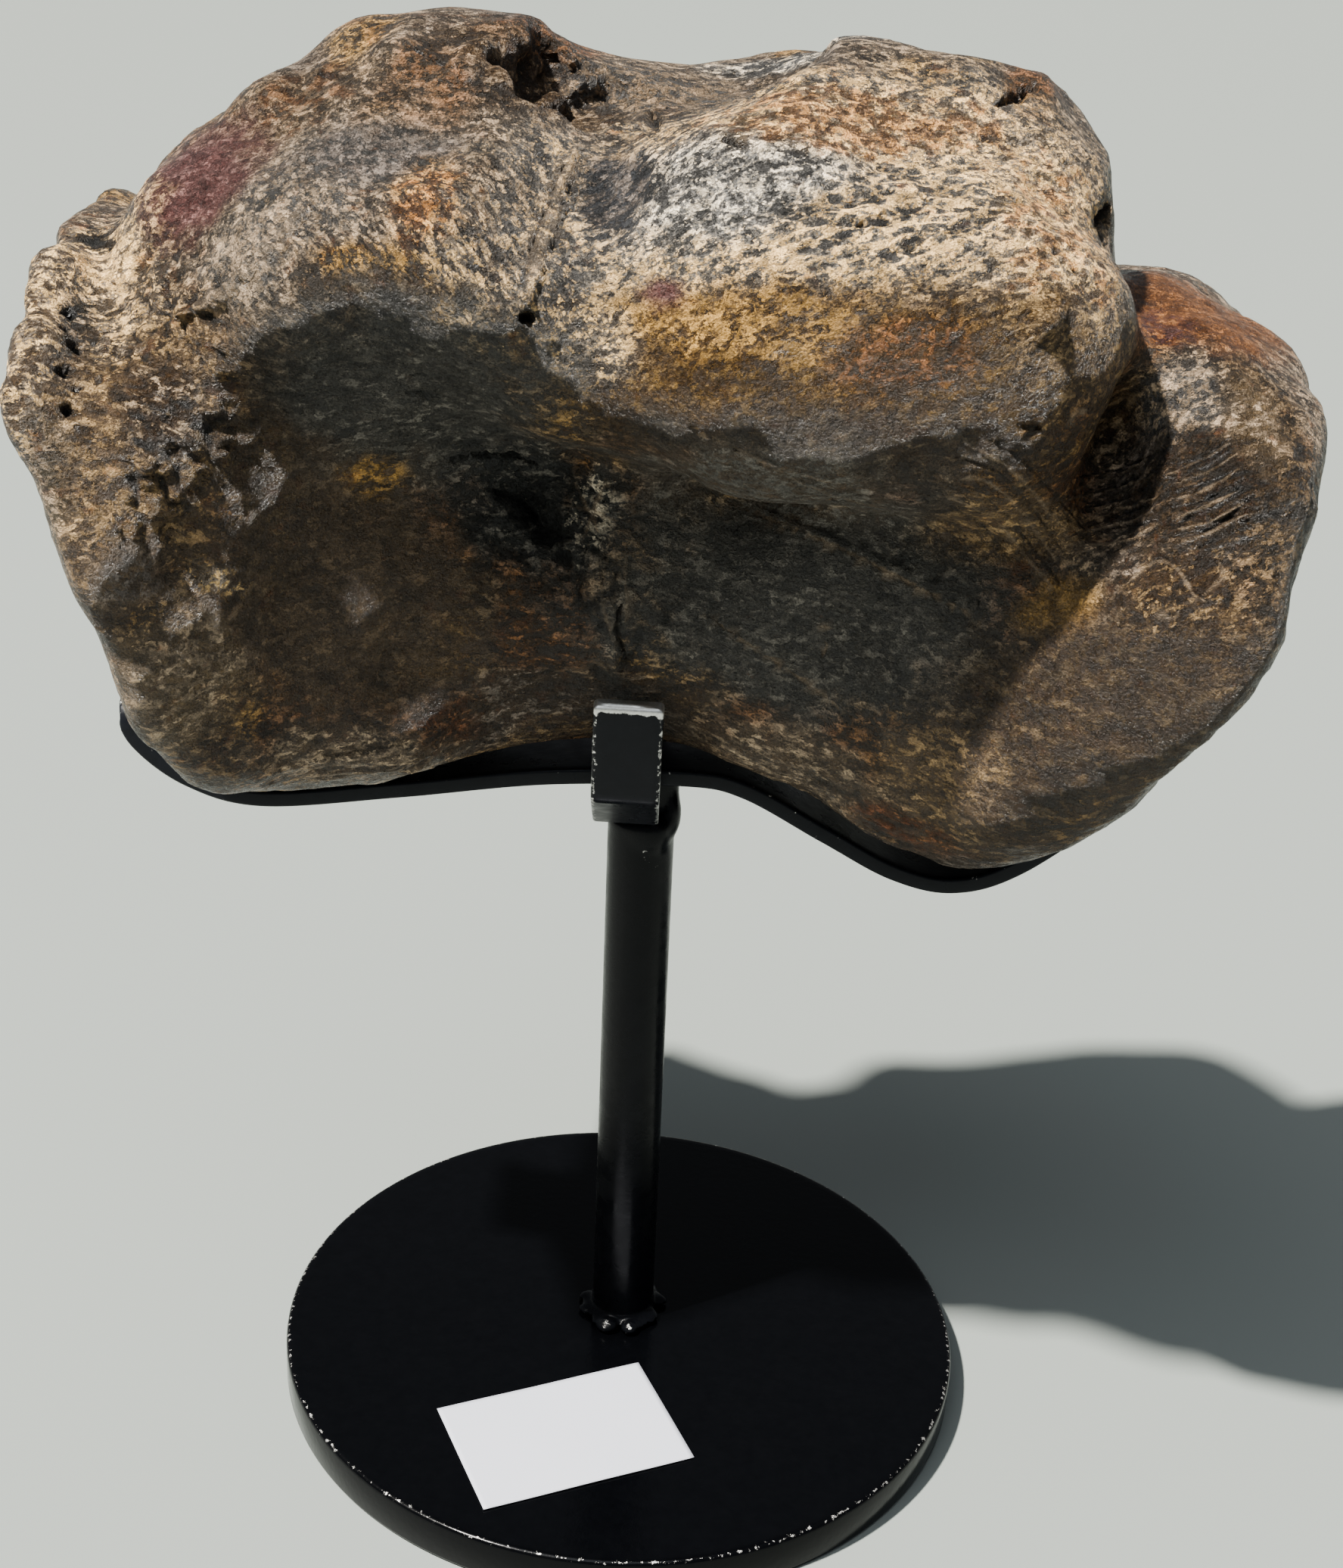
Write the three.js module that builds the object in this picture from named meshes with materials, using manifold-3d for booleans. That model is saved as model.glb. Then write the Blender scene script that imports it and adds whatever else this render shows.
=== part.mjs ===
// Fossil tail vertebra resting in a black steel cradle on a round foot.
// Millimetres, +Z up. The origin is the centre of the foot's underside. The bone lies along X,
// its larger broken process faces the front, which is -Y.
import * as THREE from "three";
import Module from "manifold-3d";
import { mergeVertices } from "three/addons/utils/BufferGeometryUtils.js";

// Driving dimensions of the stand
const DISC = { radius: 36, thick: 4.5, bevel: 0.5, sides: 72 };
const POST = { radius: 3.3, at: [0.1, 2.3], top: 65.4, lean: -0.81, shoulder: 0.6, sides: 20 };
const NECK = { radius: 2.2, top: 70.9, flare: 1 };
const FOOT_WELD = { radius: 4.7, height: 1.5, step: 0.6, slope: 0.4, lip: 0.2, fade: 0.8 };

// Beads of weld round the post's foot, and at its head, where the last number of a place is how
// far below the rod's top it lies
const FOOT_BEADS = [
  { at: [-1.9, -3.2, 0.2], radius: 1.7 }, { at: [0.9, -3.9, 0.1], radius: 1.5 },
  { at: [-3.7, 1.4, 0.1], radius: 1.6 }, { at: [3.6, -0.6, 0.1], radius: 1.5 },
  { at: [1.4, 3.5, 0.2], radius: 1.7 },
];
const HEAD_BEADS = [{ at: [0.9, -1.8, 1.2], radius: 1.9 }, { at: [1.9, 0.3, -3.6], radius: 1.7 }];
const BEAD_SIDES = [9, 6];
const BAR_THICK = 1.6;
const CRADLE_WIDE = 12.7;
const CLIP = { wide: 6.35, x: -2.2 };
const LABEL = { wide: 22.3, deep: 15.2, thick: 0.2, at: [-4.9, -18.6], turn: 24 };
const TOUCH_GAP = 0.3;
const LABEL_GAP = 0.05;

// Middle line of the cradle bar in XZ, from its upturned left tip to its right tip
const CRADLE_LINE = [
  [-50.2, 76.4], [-48.8, 72.6], [-44, 68.9], [-37, 67.3], [-24, 69.1], [-10, 71.4], [3, 72.1],
  [9, 71.2], [17, 67.0], [24, 63.4], [30, 62.4], [36, 64.9], [44.6, 72.4],
];

// Middle line of a clip in YZ, from the post's head, under the cradle and up to its free end
const CLIP_LINE = [[-2.0, 66.9], [-8.8, 72.2], [-9.9, 73.8], [-12.2, 83.2]];

// Driving dimensions of the bone. It is meshed in cells, and a corner stays clear of its cell's
// edges by a share of the cell. The spool along X has its underside, top and half width at
// places along X.
const CELL = 3.15;
const CELL_EDGE = 0.04;
const TINY = 1e-3;
const BONE_SPACE = { low: [-60, -40, 58], high: [60, 44, 146] };
const MIDDLE_Y = 2;
const UNDERSIDE = [
  [-56, 84], [-47, 76.2], [-42, 71.8], [-37, 69.2], [-31, 68.7], [-22, 71], [-12, 73.3], [0, 73.9],
  [6, 73.9], [14, 71.3], [24, 65.8], [30, 64.4], [36, 67.3], [41, 72.3], [46, 77.8], [56, 88.5],
];
const TOPSIDE = [
  [-56, 121.3], [-52.5, 121.2], [-47, 119], [-42, 120], [-36, 121.5], [-20, 116], [0, 114], [20, 116],
  [36, 119.5], [44, 120.5], [56, 115],
];
const HALF_WIDTH = [
  [-56, 32.6], [-49, 31.2], [-42, 29.4], [-36, 26], [-30, 20.6], [-22, 16.6], [-12, 14.6], [0, 14.2],
  [10, 16.2], [24, 21.5], [36, 27], [47, 31], [56, 33],
];

// How square the spool's section is: above its middle, and below it at the waist and at the ends
const SQUARE = { above: 2.3, waist: 1.9, ends: 2.3 };
const WAIST = { x: -2, reach: 14 };

// The two end faces lean outward at the top: a point on each in XZ, and the way it faces
const END_FACES = [
  { at: [-53.7, 114], faces: [-0.965, -0.262] },
  { at: [55.2, 113], faces: [0.96, -0.28] },
];
const RIM_ROUND = 4.8;

// What grows from the spool, in order. An egg has three radii. A pad is a block with rounded
// corners, given by its half sizes. turn is yaw, tilt and roll in degrees; blend is the width
// over which a form melts into what is there already.
const GROWTHS = [
  {
    name: "left shoulder", at: [-20.9, -4.5, 122.2], size: [16.3, 22, 12.6],
    turn: [-10, -4, 26], blend: 6, corner: 11.5,
  },
  {
    name: "top of the lobe", at: [14.7, -7.5, 125.7], size: [19.8, 17.5, 11],
    turn: [-4, 10.5, 28], blend: 6, corner: 9.5,
  },
  {
    name: "belly of the lobe", at: [17.6, -13.2, 118.3], size: [19.4, 14.6, 12],
    turn: [-4, 6, 0], blend: 6, corner: 10.5,
  },
  {
    name: "left edge of the belly", at: [9, -20, 114], size: [14, 8, 6.5],
    turn: [0, 18, 0], blend: 5,
  },
  {
    name: "slope between them", at: [-5, -5, 120.5], size: [14, 17, 10.5],
    turn: [6, 0, 27], blend: 7, corner: 9,
  },
  {
    name: "ridge to the left rim", at: [-34, 2, 118.5], size: [15.5, 20, 13.2],
    turn: [0, -30, 0], blend: 4,
  },
  {
    name: "back process", at: [-3, 19, 119], size: [25, 15, 11],
    turn: [9, -5, -20], blend: 9, corner: 9,
  },
  {
    name: "its upper knob", at: [13, 15, 123.5], size: [16, 15, 10],
    turn: [-12, 8, -10], blend: 8,
  },
  {
    name: "top ridge", at: [-4, 5, 122.2], size: [28, 12, 12.5],
    turn: [0, 0, 0], blend: 7, corner: 9,
  },
  {
    name: "left foot", at: [-33, -7.5, 80], size: [11, 7, 4.8],
    turn: [0, 4, 0], blend: 8,
  },
  {
    name: "slab of the peak", at: [-18.6, -1.5, 134.8], size: [5.6, 6.5, 3.2],
    turn: [-20, 10, 8], blend: 2.5, corner: 1.6,
  },
  {
    name: "corner of the shoulder", at: [-35.4, -1.5, 132.3], size: [3, 4.5, 1.6],
    turn: [0, -35, 0], blend: 2,
  },
  {
    name: "ridge over the clip", at: [-4.5, -8.6, 96.5], size: [2, 4, 7],
    turn: [0, 4, -14], blend: 6,
  },
];
const HOLLOWS = [
  {
    name: "dished left end", at: [-62.5, 3, 94], size: [12, 21, 20],
    turn: [0, 0, 0], blend: 5,
  },
  {
    name: "dished right end", at: [61, 3, 93], size: [12, 22, 20],
    turn: [0, 0, 0], blend: 5,
  },
  {
    name: "under the left shoulder", at: [-21.5, -40.5, 100.5], size: [22, 22, 23.5],
    turn: [0, 6, -13], blend: 6,
  },
  {
    name: "gap under the lobe's end", at: [37.3, -22, 112.4], size: [3.5, 9, 7.3],
    turn: [0, 20, 0], blend: 2.5,
  },
  {
    name: "pocket at the waist", at: [-10, -20, 102], size: [9, 6.5, 5],
    turn: [0, 30, 0], blend: 6,
  },
  {
    name: "under the back process", at: [2, 38, 101], size: [26, 20, 11],
    turn: [0, -6, 0], blend: 8,
  },
  {
    name: "saddle of matrix", at: [-0.9, 2, 141.9], size: [12, 26, 8.2],
    turn: [0, 3, 0], blend: 3,
  },
  {
    name: "broken pocket", at: [-11.9, -2.5, 137.5], size: [3, 5.2, 3.6],
    turn: [-24, -16, 0], blend: 0.8, corner: 0.5,
  },
  {
    name: "its second step", at: [-7.9, -1.2, 136.5], size: [3.2, 5.4, 3.8],
    turn: [-32, -10, 0], blend: 0.8, corner: 0.5,
  },
  {
    name: "groove down the front", at: [-11, -23.5, 130], size: [3.5, 14, 4],
    turn: [-12, 0, 30], blend: 5,
  },
  {
    name: "notch in the lobe's top", at: [27, -6, 139.5], size: [3, 5, 2.2],
    turn: [30, 20, 10], blend: 1.5,
  },
  {
    name: "notch in the lobe's end", at: [36, -13, 128.5], size: [2.2, 3, 2],
    turn: [0, 20, 0], blend: 1.5,
  },
  {
    name: "step in the lobe's end", at: [35.1, -3, 137.5], size: [6, 12, 4.2],
    turn: [0, 42, 0], blend: 2,
  },
  {
    name: "pits in the left rim", at: [-48.5, -30, 117.5], size: [2.2, 4, 5.5],
    turn: [0, 6, 0], blend: 2,
  },
  {
    name: "chip in the back rim", at: [50, 30, 112], size: [7, 6, 8],
    turn: [0, 0, 20], blend: 3,
  },
  {
    name: "break across the back process", at: [-18, 36, 124], size: [14, 6, 10],
    turn: [18, 0, 10], blend: 3,
  },
];

// Gentle waves over the whole surface in crossing directions, which leave no stretch of it plain
const WAVES = [
  { high: 0.3, way: [0.21, 0.09, 0.12], start: 0.4 },
  { high: 0.3, way: [-0.1, 0.22, 0.14], start: 2.1 },
  { high: 0.25, way: [0.16, -0.19, 0.2], start: 4.4 },
  { high: 0.2, way: [0.38, 0.21, -0.3], start: 1.3 },
  { high: 0.2, way: [-0.33, 0.36, 0.17], start: 3.2 },
  { high: 0.15, way: [0.13, 0.4, 0.42], start: 5.6 },
];

const BLACK_PAINT = new THREE.MeshStandardMaterial({ color: 0x0b0c10, roughness: 0.3, metalness: 0.0 });
const FOSSIL = new THREE.MeshStandardMaterial({ color: 0x6b5540, roughness: 0.55, metalness: 0.0 });
const PAPER = new THREE.MeshStandardMaterial({ color: 0xe9ebf5, roughness: 0.6, metalness: 0.0 });

const wasm = await Module();
wasm.setup();

function solidOf(geometry) {
  geometry.deleteAttribute("normal");
  geometry.deleteAttribute("uv");
  const merged = mergeVertices(geometry, 1e-4);
  return new wasm.Manifold(new wasm.Mesh({
    numProp: 3,
    vertProperties: new Float32Array(merged.attributes.position.array),
    triVerts: new Uint32Array(merged.index.array),
  }));
}

function geometryOf(solid) {
  const mesh = solid.getMesh();
  const geometry = new THREE.BufferGeometry();
  geometry.setAttribute("position", new THREE.BufferAttribute(mesh.vertProperties, 3));
  geometry.setIndex(new THREE.BufferAttribute(mesh.triVerts, 1));
  return geometry;
}

function named(name, geometry, material) {
  const mesh = new THREE.Mesh(geometry, material);
  mesh.name = name;
  return mesh;
}

// The height of a smooth curve through the points [x, height] at x
function along(points, x) {
  const last = points.length - 1;
  const at = Math.min(Math.max(x, points[0][0]), points[last][0]);
  let i = 0;
  while (i < last - 1 && at > points[i + 1][0]) i += 1;
  const slope = (k) => {
    const before = points[Math.max(k - 1, 0)];
    const after = points[Math.min(k + 1, last)];
    return (after[1] - before[1]) / (after[0] - before[0]);
  };
  const width = points[i + 1][0] - points[i][0];
  const s = (at - points[i][0]) / width;
  const rise = s * s * (3 - 2 * s);
  return points[i][1] * (1 - rise) + points[i + 1][1] * rise
    + width * s * (1 - s) * (slope(i) * (1 - s) - slope(i + 1) * s);
}

// The lower of two depths, melted together where they differ by less than blend
function melt(a, b, blend) {
  const share = Math.min(Math.max(0.5 + (0.5 * (b - a)) / blend, 0), 1);
  return b * (1 - share) + a * share - blend * share * (1 - share);
}

// The way from the world to a form's own axes
function unturn([yaw, tilt, roll]) {
  const [z, y, x] = [yaw, tilt, roll].map(THREE.MathUtils.degToRad);
  const turned = new THREE.Matrix4().makeRotationFromEuler(new THREE.Euler(x, y, z, "ZYX"));
  return turned.transpose();
}

// The depth of a point in a form, in mm: negative inside it
function depthIn(form, x, y, z) {
  form.axes ??= unturn(form.turn);
  const at = new THREE.Vector3(x - form.at[0], y - form.at[1], z - form.at[2]).applyMatrix4(form.axes);
  const size = new THREE.Vector3(...form.size);
  if (form.corner === undefined) {
    const reach = at.divide(size).length();
    const steep = at.divide(size).length();
    return (reach * (reach - 1)) / Math.max(steep, 1e-9);
  }
  const past = [0, 1, 2].map((i) => Math.abs(at.getComponent(i)) - size.getComponent(i) + form.corner);
  const outside = Math.hypot(...past.map((v) => Math.max(v, 0)));
  return outside + Math.min(Math.max(...past), 0) - form.corner;
}

function depthInSpool(x, y, z) {
  const bottom = along(UNDERSIDE, x);
  const middle = (bottom + along(TOPSIDE, x)) / 2;
  const halfHigh = middle - bottom;
  const halfWide = along(HALF_WIDTH, x);
  const away = Math.min(Math.abs(x - WAIST.x) / WAIST.reach, 1) ** 2;
  const square = z < middle ? SQUARE.waist + (SQUARE.ends - SQUARE.waist) * away : SQUARE.above;
  const across = Math.abs((y - MIDDLE_Y) / halfWide) ** square;
  const up = Math.abs((z - middle) / halfHigh) ** square;
  let depth = ((across + up) ** (1 / square) - 1) * Math.min(halfWide, halfHigh);
  const ends = END_FACES.map(({ at, faces }) => (x - at[0]) * faces[0] + (z - at[1]) * faces[1]);
  depth = -melt(-depth, -Math.max(...ends), RIM_ROUND);
  return depth;
}

function depthInBone(x, y, z) {
  let depth = depthInSpool(x, y, z);
  for (const form of GROWTHS) depth = melt(depth, depthIn(form, x, y, z), form.blend);
  for (const form of HOLLOWS) depth = -melt(-depth, depthIn(form, x, y, z), form.blend);
  for (const { high, way, start } of WAVES) {
    depth += high * Math.sin(x * way[0] + y * way[1] + z * way[2] + start);
  }
  return depth;
}

// A closed mesh of the surface where depth is zero: one corner in each cell that the surface
// crosses, drawn towards the surface within that cell, and a quad across each edge it crosses
function skin(depth, { low, high }, cell) {
  const counts = low.map((v, i) => Math.ceil((high[i] - v) / cell) + 1);
  const index = (i, j, k) => (i * counts[1] + j) * counts[2] + k;
  const place = (i, j, k) => [low[0] + i * cell, low[1] + j * cell, low[2] + k * cell];
  const depths = new Float64Array(counts[0] * counts[1] * counts[2]);
  const eachCell = (visit) => {
    for (let i = 0; i < counts[0]; i += 1) {
      for (let j = 0; j < counts[1]; j += 1) {
        for (let k = 0; k < counts[2]; k += 1) visit(i, j, k);
      }
    }
  };
  const steps = [[1, 0, 0], [0, 1, 0], [0, 0, 1]];
  eachCell((i, j, k) => {
    depths[index(i, j, k)] = depth(...place(i, j, k));
  });
  eachCell((i, j, k) => steps.forEach((u, axis) => {
    const v = steps[(axis + 1) % 3];
    if ([i, j, k].some((at, n) => at + u[n] + v[n] >= counts[n])) return;
    joinDiagonal(depths, [
      index(i, j, k), index(i + u[0], j + u[1], k + u[2]),
      index(i + u[0] + v[0], j + u[1] + v[1], k + u[2] + v[2]), index(i + v[0], j + v[1], k + v[2]),
    ]);
  }));

  const corners = new Map();
  const points = [];
  const cornerOf = (i, j, k) => {
    const key = index(i, j, k);
    if (!corners.has(key)) {
      corners.set(key, points.length / 3);
      const start = place(i, j, k);
      const drawn = drawnTo(depth, crossing(depths, index, place, i, j, k), cell);
      points.push(...drawn.map((v, axis) => THREE.MathUtils.clamp(
        v, start[axis] + cell * CELL_EDGE, start[axis] + cell * (1 - CELL_EDGE),
      )));
    }
    return corners.get(key);
  };
  const faces = [];
  eachCell((i, j, k) => {
    const here = depths[index(i, j, k)];
    steps.forEach(([a, b, c], axis) => {
      if (i + a >= counts[0] || j + b >= counts[1] || k + c >= counts[2]) return;
      const there = depths[index(i + a, j + b, k + c)];
      if (here < 0 === there < 0) return;
      const u = steps[(axis + 1) % 3];
      const v = steps[(axis + 2) % 3];
      const ring = [[0, 0], [1, 0], [1, 1], [0, 1]].map(([m, n]) => cornerOf(
        i - m * u[0] - n * v[0], j - m * u[1] - n * v[1], k - m * u[2] - n * v[2],
      ));
      if (here >= 0) ring.reverse();
      faces.push(ring[0], ring[1], ring[2], ring[0], ring[2], ring[3]);
    });
  });
  const geometry = new THREE.BufferGeometry();
  geometry.setAttribute("position", new THREE.Float32BufferAttribute(points, 3));
  geometry.setIndex(faces);
  return geometry;
}

// Where only two opposite corners of a cell's side are inside, the shallower outside one joins
// them, so that four faces never meet at one edge
function joinDiagonal(depths, ring) {
  const [a, b, c, d] = ring.map((at) => depths[at] < 0);
  if (a !== c || b !== d || a === b) return;
  const outside = ring.filter((at) => depths[at] >= 0).sort((m, n) => depths[m] - depths[n]);
  depths[outside[0]] = -TINY;
}

// The middle of the points where the surface crosses a cell's twelve edges
function crossing(depths, index, place, i, j, k) {
  const sum = new THREE.Vector3();
  let crossed = 0;
  for (let from = 0; from < 8; from += 1) {
    for (const bit of [1, 2, 4]) {
      if (from & bit) continue;
      const a = [i + (from & 1), j + ((from >> 1) & 1), k + (from >> 2)];
      const to = from | bit;
      const b = [i + (to & 1), j + ((to >> 1) & 1), k + (to >> 2)];
      const depthA = depths[index(...a)];
      const depthB = depths[index(...b)];
      if (depthA < 0 === depthB < 0) continue;
      const share = depthA / (depthA - depthB);
      sum.add(new THREE.Vector3(...place(...a)).lerp(new THREE.Vector3(...place(...b)), share));
      crossed += 1;
    }
  }
  return sum.divideScalar(crossed).toArray();
}

// The point moved down the slope of depth onto the surface, by less than a quarter of a cell
function drawnTo(depth, [x, y, z], cell) {
  const reach = cell / 20;
  const here = depth(x, y, z);
  const slope = new THREE.Vector3(
    depth(x + reach, y, z) - depth(x - reach, y, z),
    depth(x, y + reach, z) - depth(x, y - reach, z),
    depth(x, y, z + reach) - depth(x, y, z - reach),
  ).divideScalar(2 * reach);
  const step = slope.multiplyScalar(-here / Math.max(slope.lengthSq(), 0.25)).clampLength(0, cell / 4);
  return [x + step.x, y + step.y, z + step.z];
}

// A flat bar bent along a line in a plane: its outline, as far to each side of the line as half
// its thickness, extruded by its width. The plane's axes are across and up.
function bentBar(line, wide, bends) {
  const route = new THREE.SplineCurve(line.map(([a, b]) => new THREE.Vector2(a, b)));
  const over = [];
  const under = [];
  for (let i = 0; i <= bends; i += 1) {
    const at = route.getPointAt(i / bends);
    const ahead = route.getTangentAt(i / bends);
    const side = new THREE.Vector2(-ahead.y, ahead.x).multiplyScalar(BAR_THICK / 2);
    over.push(at.clone().add(side));
    under.push(at.clone().sub(side));
  }
  const outline = new THREE.Shape([...over, ...under.reverse()]);
  return new THREE.ExtrudeGeometry(outline, { depth: wide, bevelEnabled: false, steps: 1 });
}

function makeDisc() {
  const { radius, thick, bevel, sides } = DISC;
  const profile = [
    [0, 0], [radius - bevel, 0], [radius, bevel],
    [radius, thick - bevel], [radius - bevel, thick], [0, thick],
  ];
  const geometry = new THREE.LatheGeometry(profile.map(([r, z]) => new THREE.Vector2(r, z)), sides);
  return named("base_disc", geometry.rotateX(Math.PI / 2), BLACK_PAINT);
}

// The post, from its foot up: the bead of weld at its foot, the rod, and the ground neck that
// carries the cradle
function makePost() {
  const foot = DISC.thick + TOUCH_GAP;
  const rodTop = POST.top - foot;
  const neckTop = NECK.top - foot;
  const profile = [
    [0, 0], [FOOT_WELD.radius, 0], [FOOT_WELD.radius - FOOT_WELD.slope, FOOT_WELD.step],
    [POST.radius + FOOT_WELD.lip, FOOT_WELD.height], [POST.radius, FOOT_WELD.height + FOOT_WELD.fade],
    [POST.radius, rodTop - POST.shoulder], [POST.radius - POST.shoulder, rodTop],
    [NECK.radius, rodTop + POST.shoulder], [NECK.radius, neckTop - NECK.flare],
    [NECK.radius + NECK.flare / 2, neckTop], [0, neckTop],
  ];
  const rod = new THREE.LatheGeometry(profile.map(([r, z]) => new THREE.Vector2(r, z)), POST.sides);
  let post = solidOf(rod.rotateX(Math.PI / 2));
  const beads = [
    ...FOOT_BEADS,
    ...HEAD_BEADS.map(({ at: [x, y, down], radius }) => ({ at: [x, y, rodTop - down], radius })),
  ];
  for (const { at, radius } of beads) {
    const bead = new THREE.SphereGeometry(radius, ...BEAD_SIDES).translate(...at);
    post = post.add(solidOf(bead));
  }
  const wide = 4 * POST.radius;
  const under = new THREE.BoxGeometry(wide, wide, wide).translate(0, 0, -wide / 2);
  post = post.subtract(solidOf(under));
  const mesh = named("post", geometryOf(post), BLACK_PAINT);
  mesh.position.set(POST.at[0], POST.at[1], foot);
  mesh.rotation.y = THREE.MathUtils.degToRad(POST.lean);
  return mesh;
}

function makeCradle() {
  const bar = bentBar(CRADLE_LINE, CRADLE_WIDE, 48).rotateX(Math.PI / 2);
  bar.translate(0, POST.at[1] + CRADLE_WIDE / 2, 0);
  return named("cradle_bar", bar, BLACK_PAINT);
}

// A clip is drawn in YZ and set across X. The back one is the front one mirrored about the post.
function makeClip(name, side) {
  const line = CLIP_LINE.map(([y, z]) => [side > 0 ? y : 2 * POST.at[1] - y, z]);
  const bar = bentBar(line, CLIP.wide, 14);
  bar.applyMatrix4(new THREE.Matrix4().makeBasis(
    new THREE.Vector3(0, 1, 0), new THREE.Vector3(0, 0, 1), new THREE.Vector3(1, 0, 0),
  ));
  bar.translate(CLIP.x - CLIP.wide / 2, 0, 0);
  return named(name, bar, BLACK_PAINT);
}

function makeLabel() {
  const paper = new THREE.BoxGeometry(LABEL.wide, LABEL.deep, LABEL.thick);
  const mesh = named("price_label", paper, PAPER);
  mesh.position.set(...LABEL.at, DISC.thick + LABEL_GAP + LABEL.thick / 2);
  mesh.rotation.z = THREE.MathUtils.degToRad(LABEL.turn);
  return mesh;
}

const part = new THREE.Group();
part.add(
  makeDisc(),
  makePost(),
  makeCradle(),
  makeClip("front_clip", 1),
  makeClip("back_clip", -1),
  named("vertebra", skin(depthInBone, BONE_SPACE, CELL), FOSSIL),
  makeLabel(),
);

export default part;
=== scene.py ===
"""Looks of a fossil tail vertebra that rests in a black steel cradle on a round foot.

The bone's form is worked out in millimetres, in the CAD's frame: +X along the bone, -Y towards
the viewer, +Z up. Everything is turned into metres when its mesh is made.
"""
import math

import bmesh
import bpy
import numpy as np
from mathutils import Matrix, Vector
from mathutils.bvhtree import BVHTree


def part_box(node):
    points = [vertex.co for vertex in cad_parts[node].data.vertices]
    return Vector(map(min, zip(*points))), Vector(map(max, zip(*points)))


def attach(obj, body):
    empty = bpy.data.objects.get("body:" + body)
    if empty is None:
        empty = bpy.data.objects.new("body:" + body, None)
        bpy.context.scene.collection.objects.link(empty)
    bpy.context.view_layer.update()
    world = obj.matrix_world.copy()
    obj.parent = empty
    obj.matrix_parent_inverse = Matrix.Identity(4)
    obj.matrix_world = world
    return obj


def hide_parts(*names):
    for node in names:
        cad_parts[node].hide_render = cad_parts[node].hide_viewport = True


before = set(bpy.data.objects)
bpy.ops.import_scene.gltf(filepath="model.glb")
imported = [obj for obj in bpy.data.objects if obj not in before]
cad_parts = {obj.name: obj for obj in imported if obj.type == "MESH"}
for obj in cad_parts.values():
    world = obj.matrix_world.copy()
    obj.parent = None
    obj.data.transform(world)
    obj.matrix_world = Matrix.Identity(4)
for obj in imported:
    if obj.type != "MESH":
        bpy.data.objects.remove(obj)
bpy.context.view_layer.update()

MM = 0.001

# The camera, as the photograph was taken: its place in mm, its pitch and roll in degrees, and the
# photograph's frame and focal length in pixels
PHOTO = (1775, 2072)
FOCAL = 3030
SENSOR = 36
CAMERA_AT = np.array([2.016, -200.124, 165.96])
CAMERA_PITCH = -25.7
CAMERA_ROLL = 3.45

# The lights: the ways to them from the bone, how strong they are and their colours, then the floor
KEY_WAY = (-0.43, -0.245, 0.86)
KEY_STRENGTH = 18.5
KEY_SPREAD = 2.5
KEY_COLOUR = (1.0, 0.96, 0.9)
PANEL_WAY = (-0.15, -0.35, 0.93)
PANEL_POWER = 7
PANEL_SIZE = 0.9
PANEL_COLOUR = (0.86, 0.93, 1.0)
SKY_STRENGTH = 0.25
SKY_COLOUR = (0.88, 0.93, 1.0, 1)
LIGHTS_FACE = (0, 0, 0.1)
LIGHTS_FAR = 1.1
FLOOR_RADIUS = 4
FLOOR_COLOUR = (0.186, 0.207, 0.192)

# Meshing cells of the bone in mm, how many of them a coarse cell is wide, how far from the surface
# the field is worked out, and how often the mesh is drawn onto it
CELL = 0.86
COARSE = 4
NEAR = 5.5
DRAWN_ON = 2
BONE_SPACE = ((-60, -40, 58), (60, 44, 146))

# The spool along X: its underside, top and half width at places along X
MIDDLE_Y = 2
UNDERSIDE = [
    (-56, 84), (-47, 76.2), (-42, 71.8), (-37, 69.2), (-31, 68.7), (-22, 71.0), (-12, 73.3),
    (0, 73.9), (6, 73.9), (14, 71.3), (24, 65.8), (30, 64.4), (36, 67.3), (41, 72.3), (46, 77.8),
    (56, 88.5),
]
TOPSIDE = [
    (-56, 121.3), (-52.5, 121.2), (-47, 119), (-42, 120), (-36, 121.5), (-20, 116), (0, 114),
    (20, 116), (36, 119.5), (44, 120.5), (56, 115),
]
HALF_WIDTH = [
    (-56, 32.6), (-49, 31.2), (-42, 29.4), (-36, 26), (-30, 20.6), (-22, 16.6), (-12, 14.6), (0, 14.2),
    (10, 16.2), (24, 21.5), (36, 27), (47, 31), (56, 33),
]
SQUARE_ABOVE = 2.3
SQUARE_WAIST = 1.9
SQUARE_ENDS = 2.3
WAIST_X = -2
WAIST_REACH = 14
END_FACES = [((-53.7, 114), (-0.965, -0.262)), ((55.2, 113), (0.96, -0.28))]
RIM_ROUND = 4.8

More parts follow.
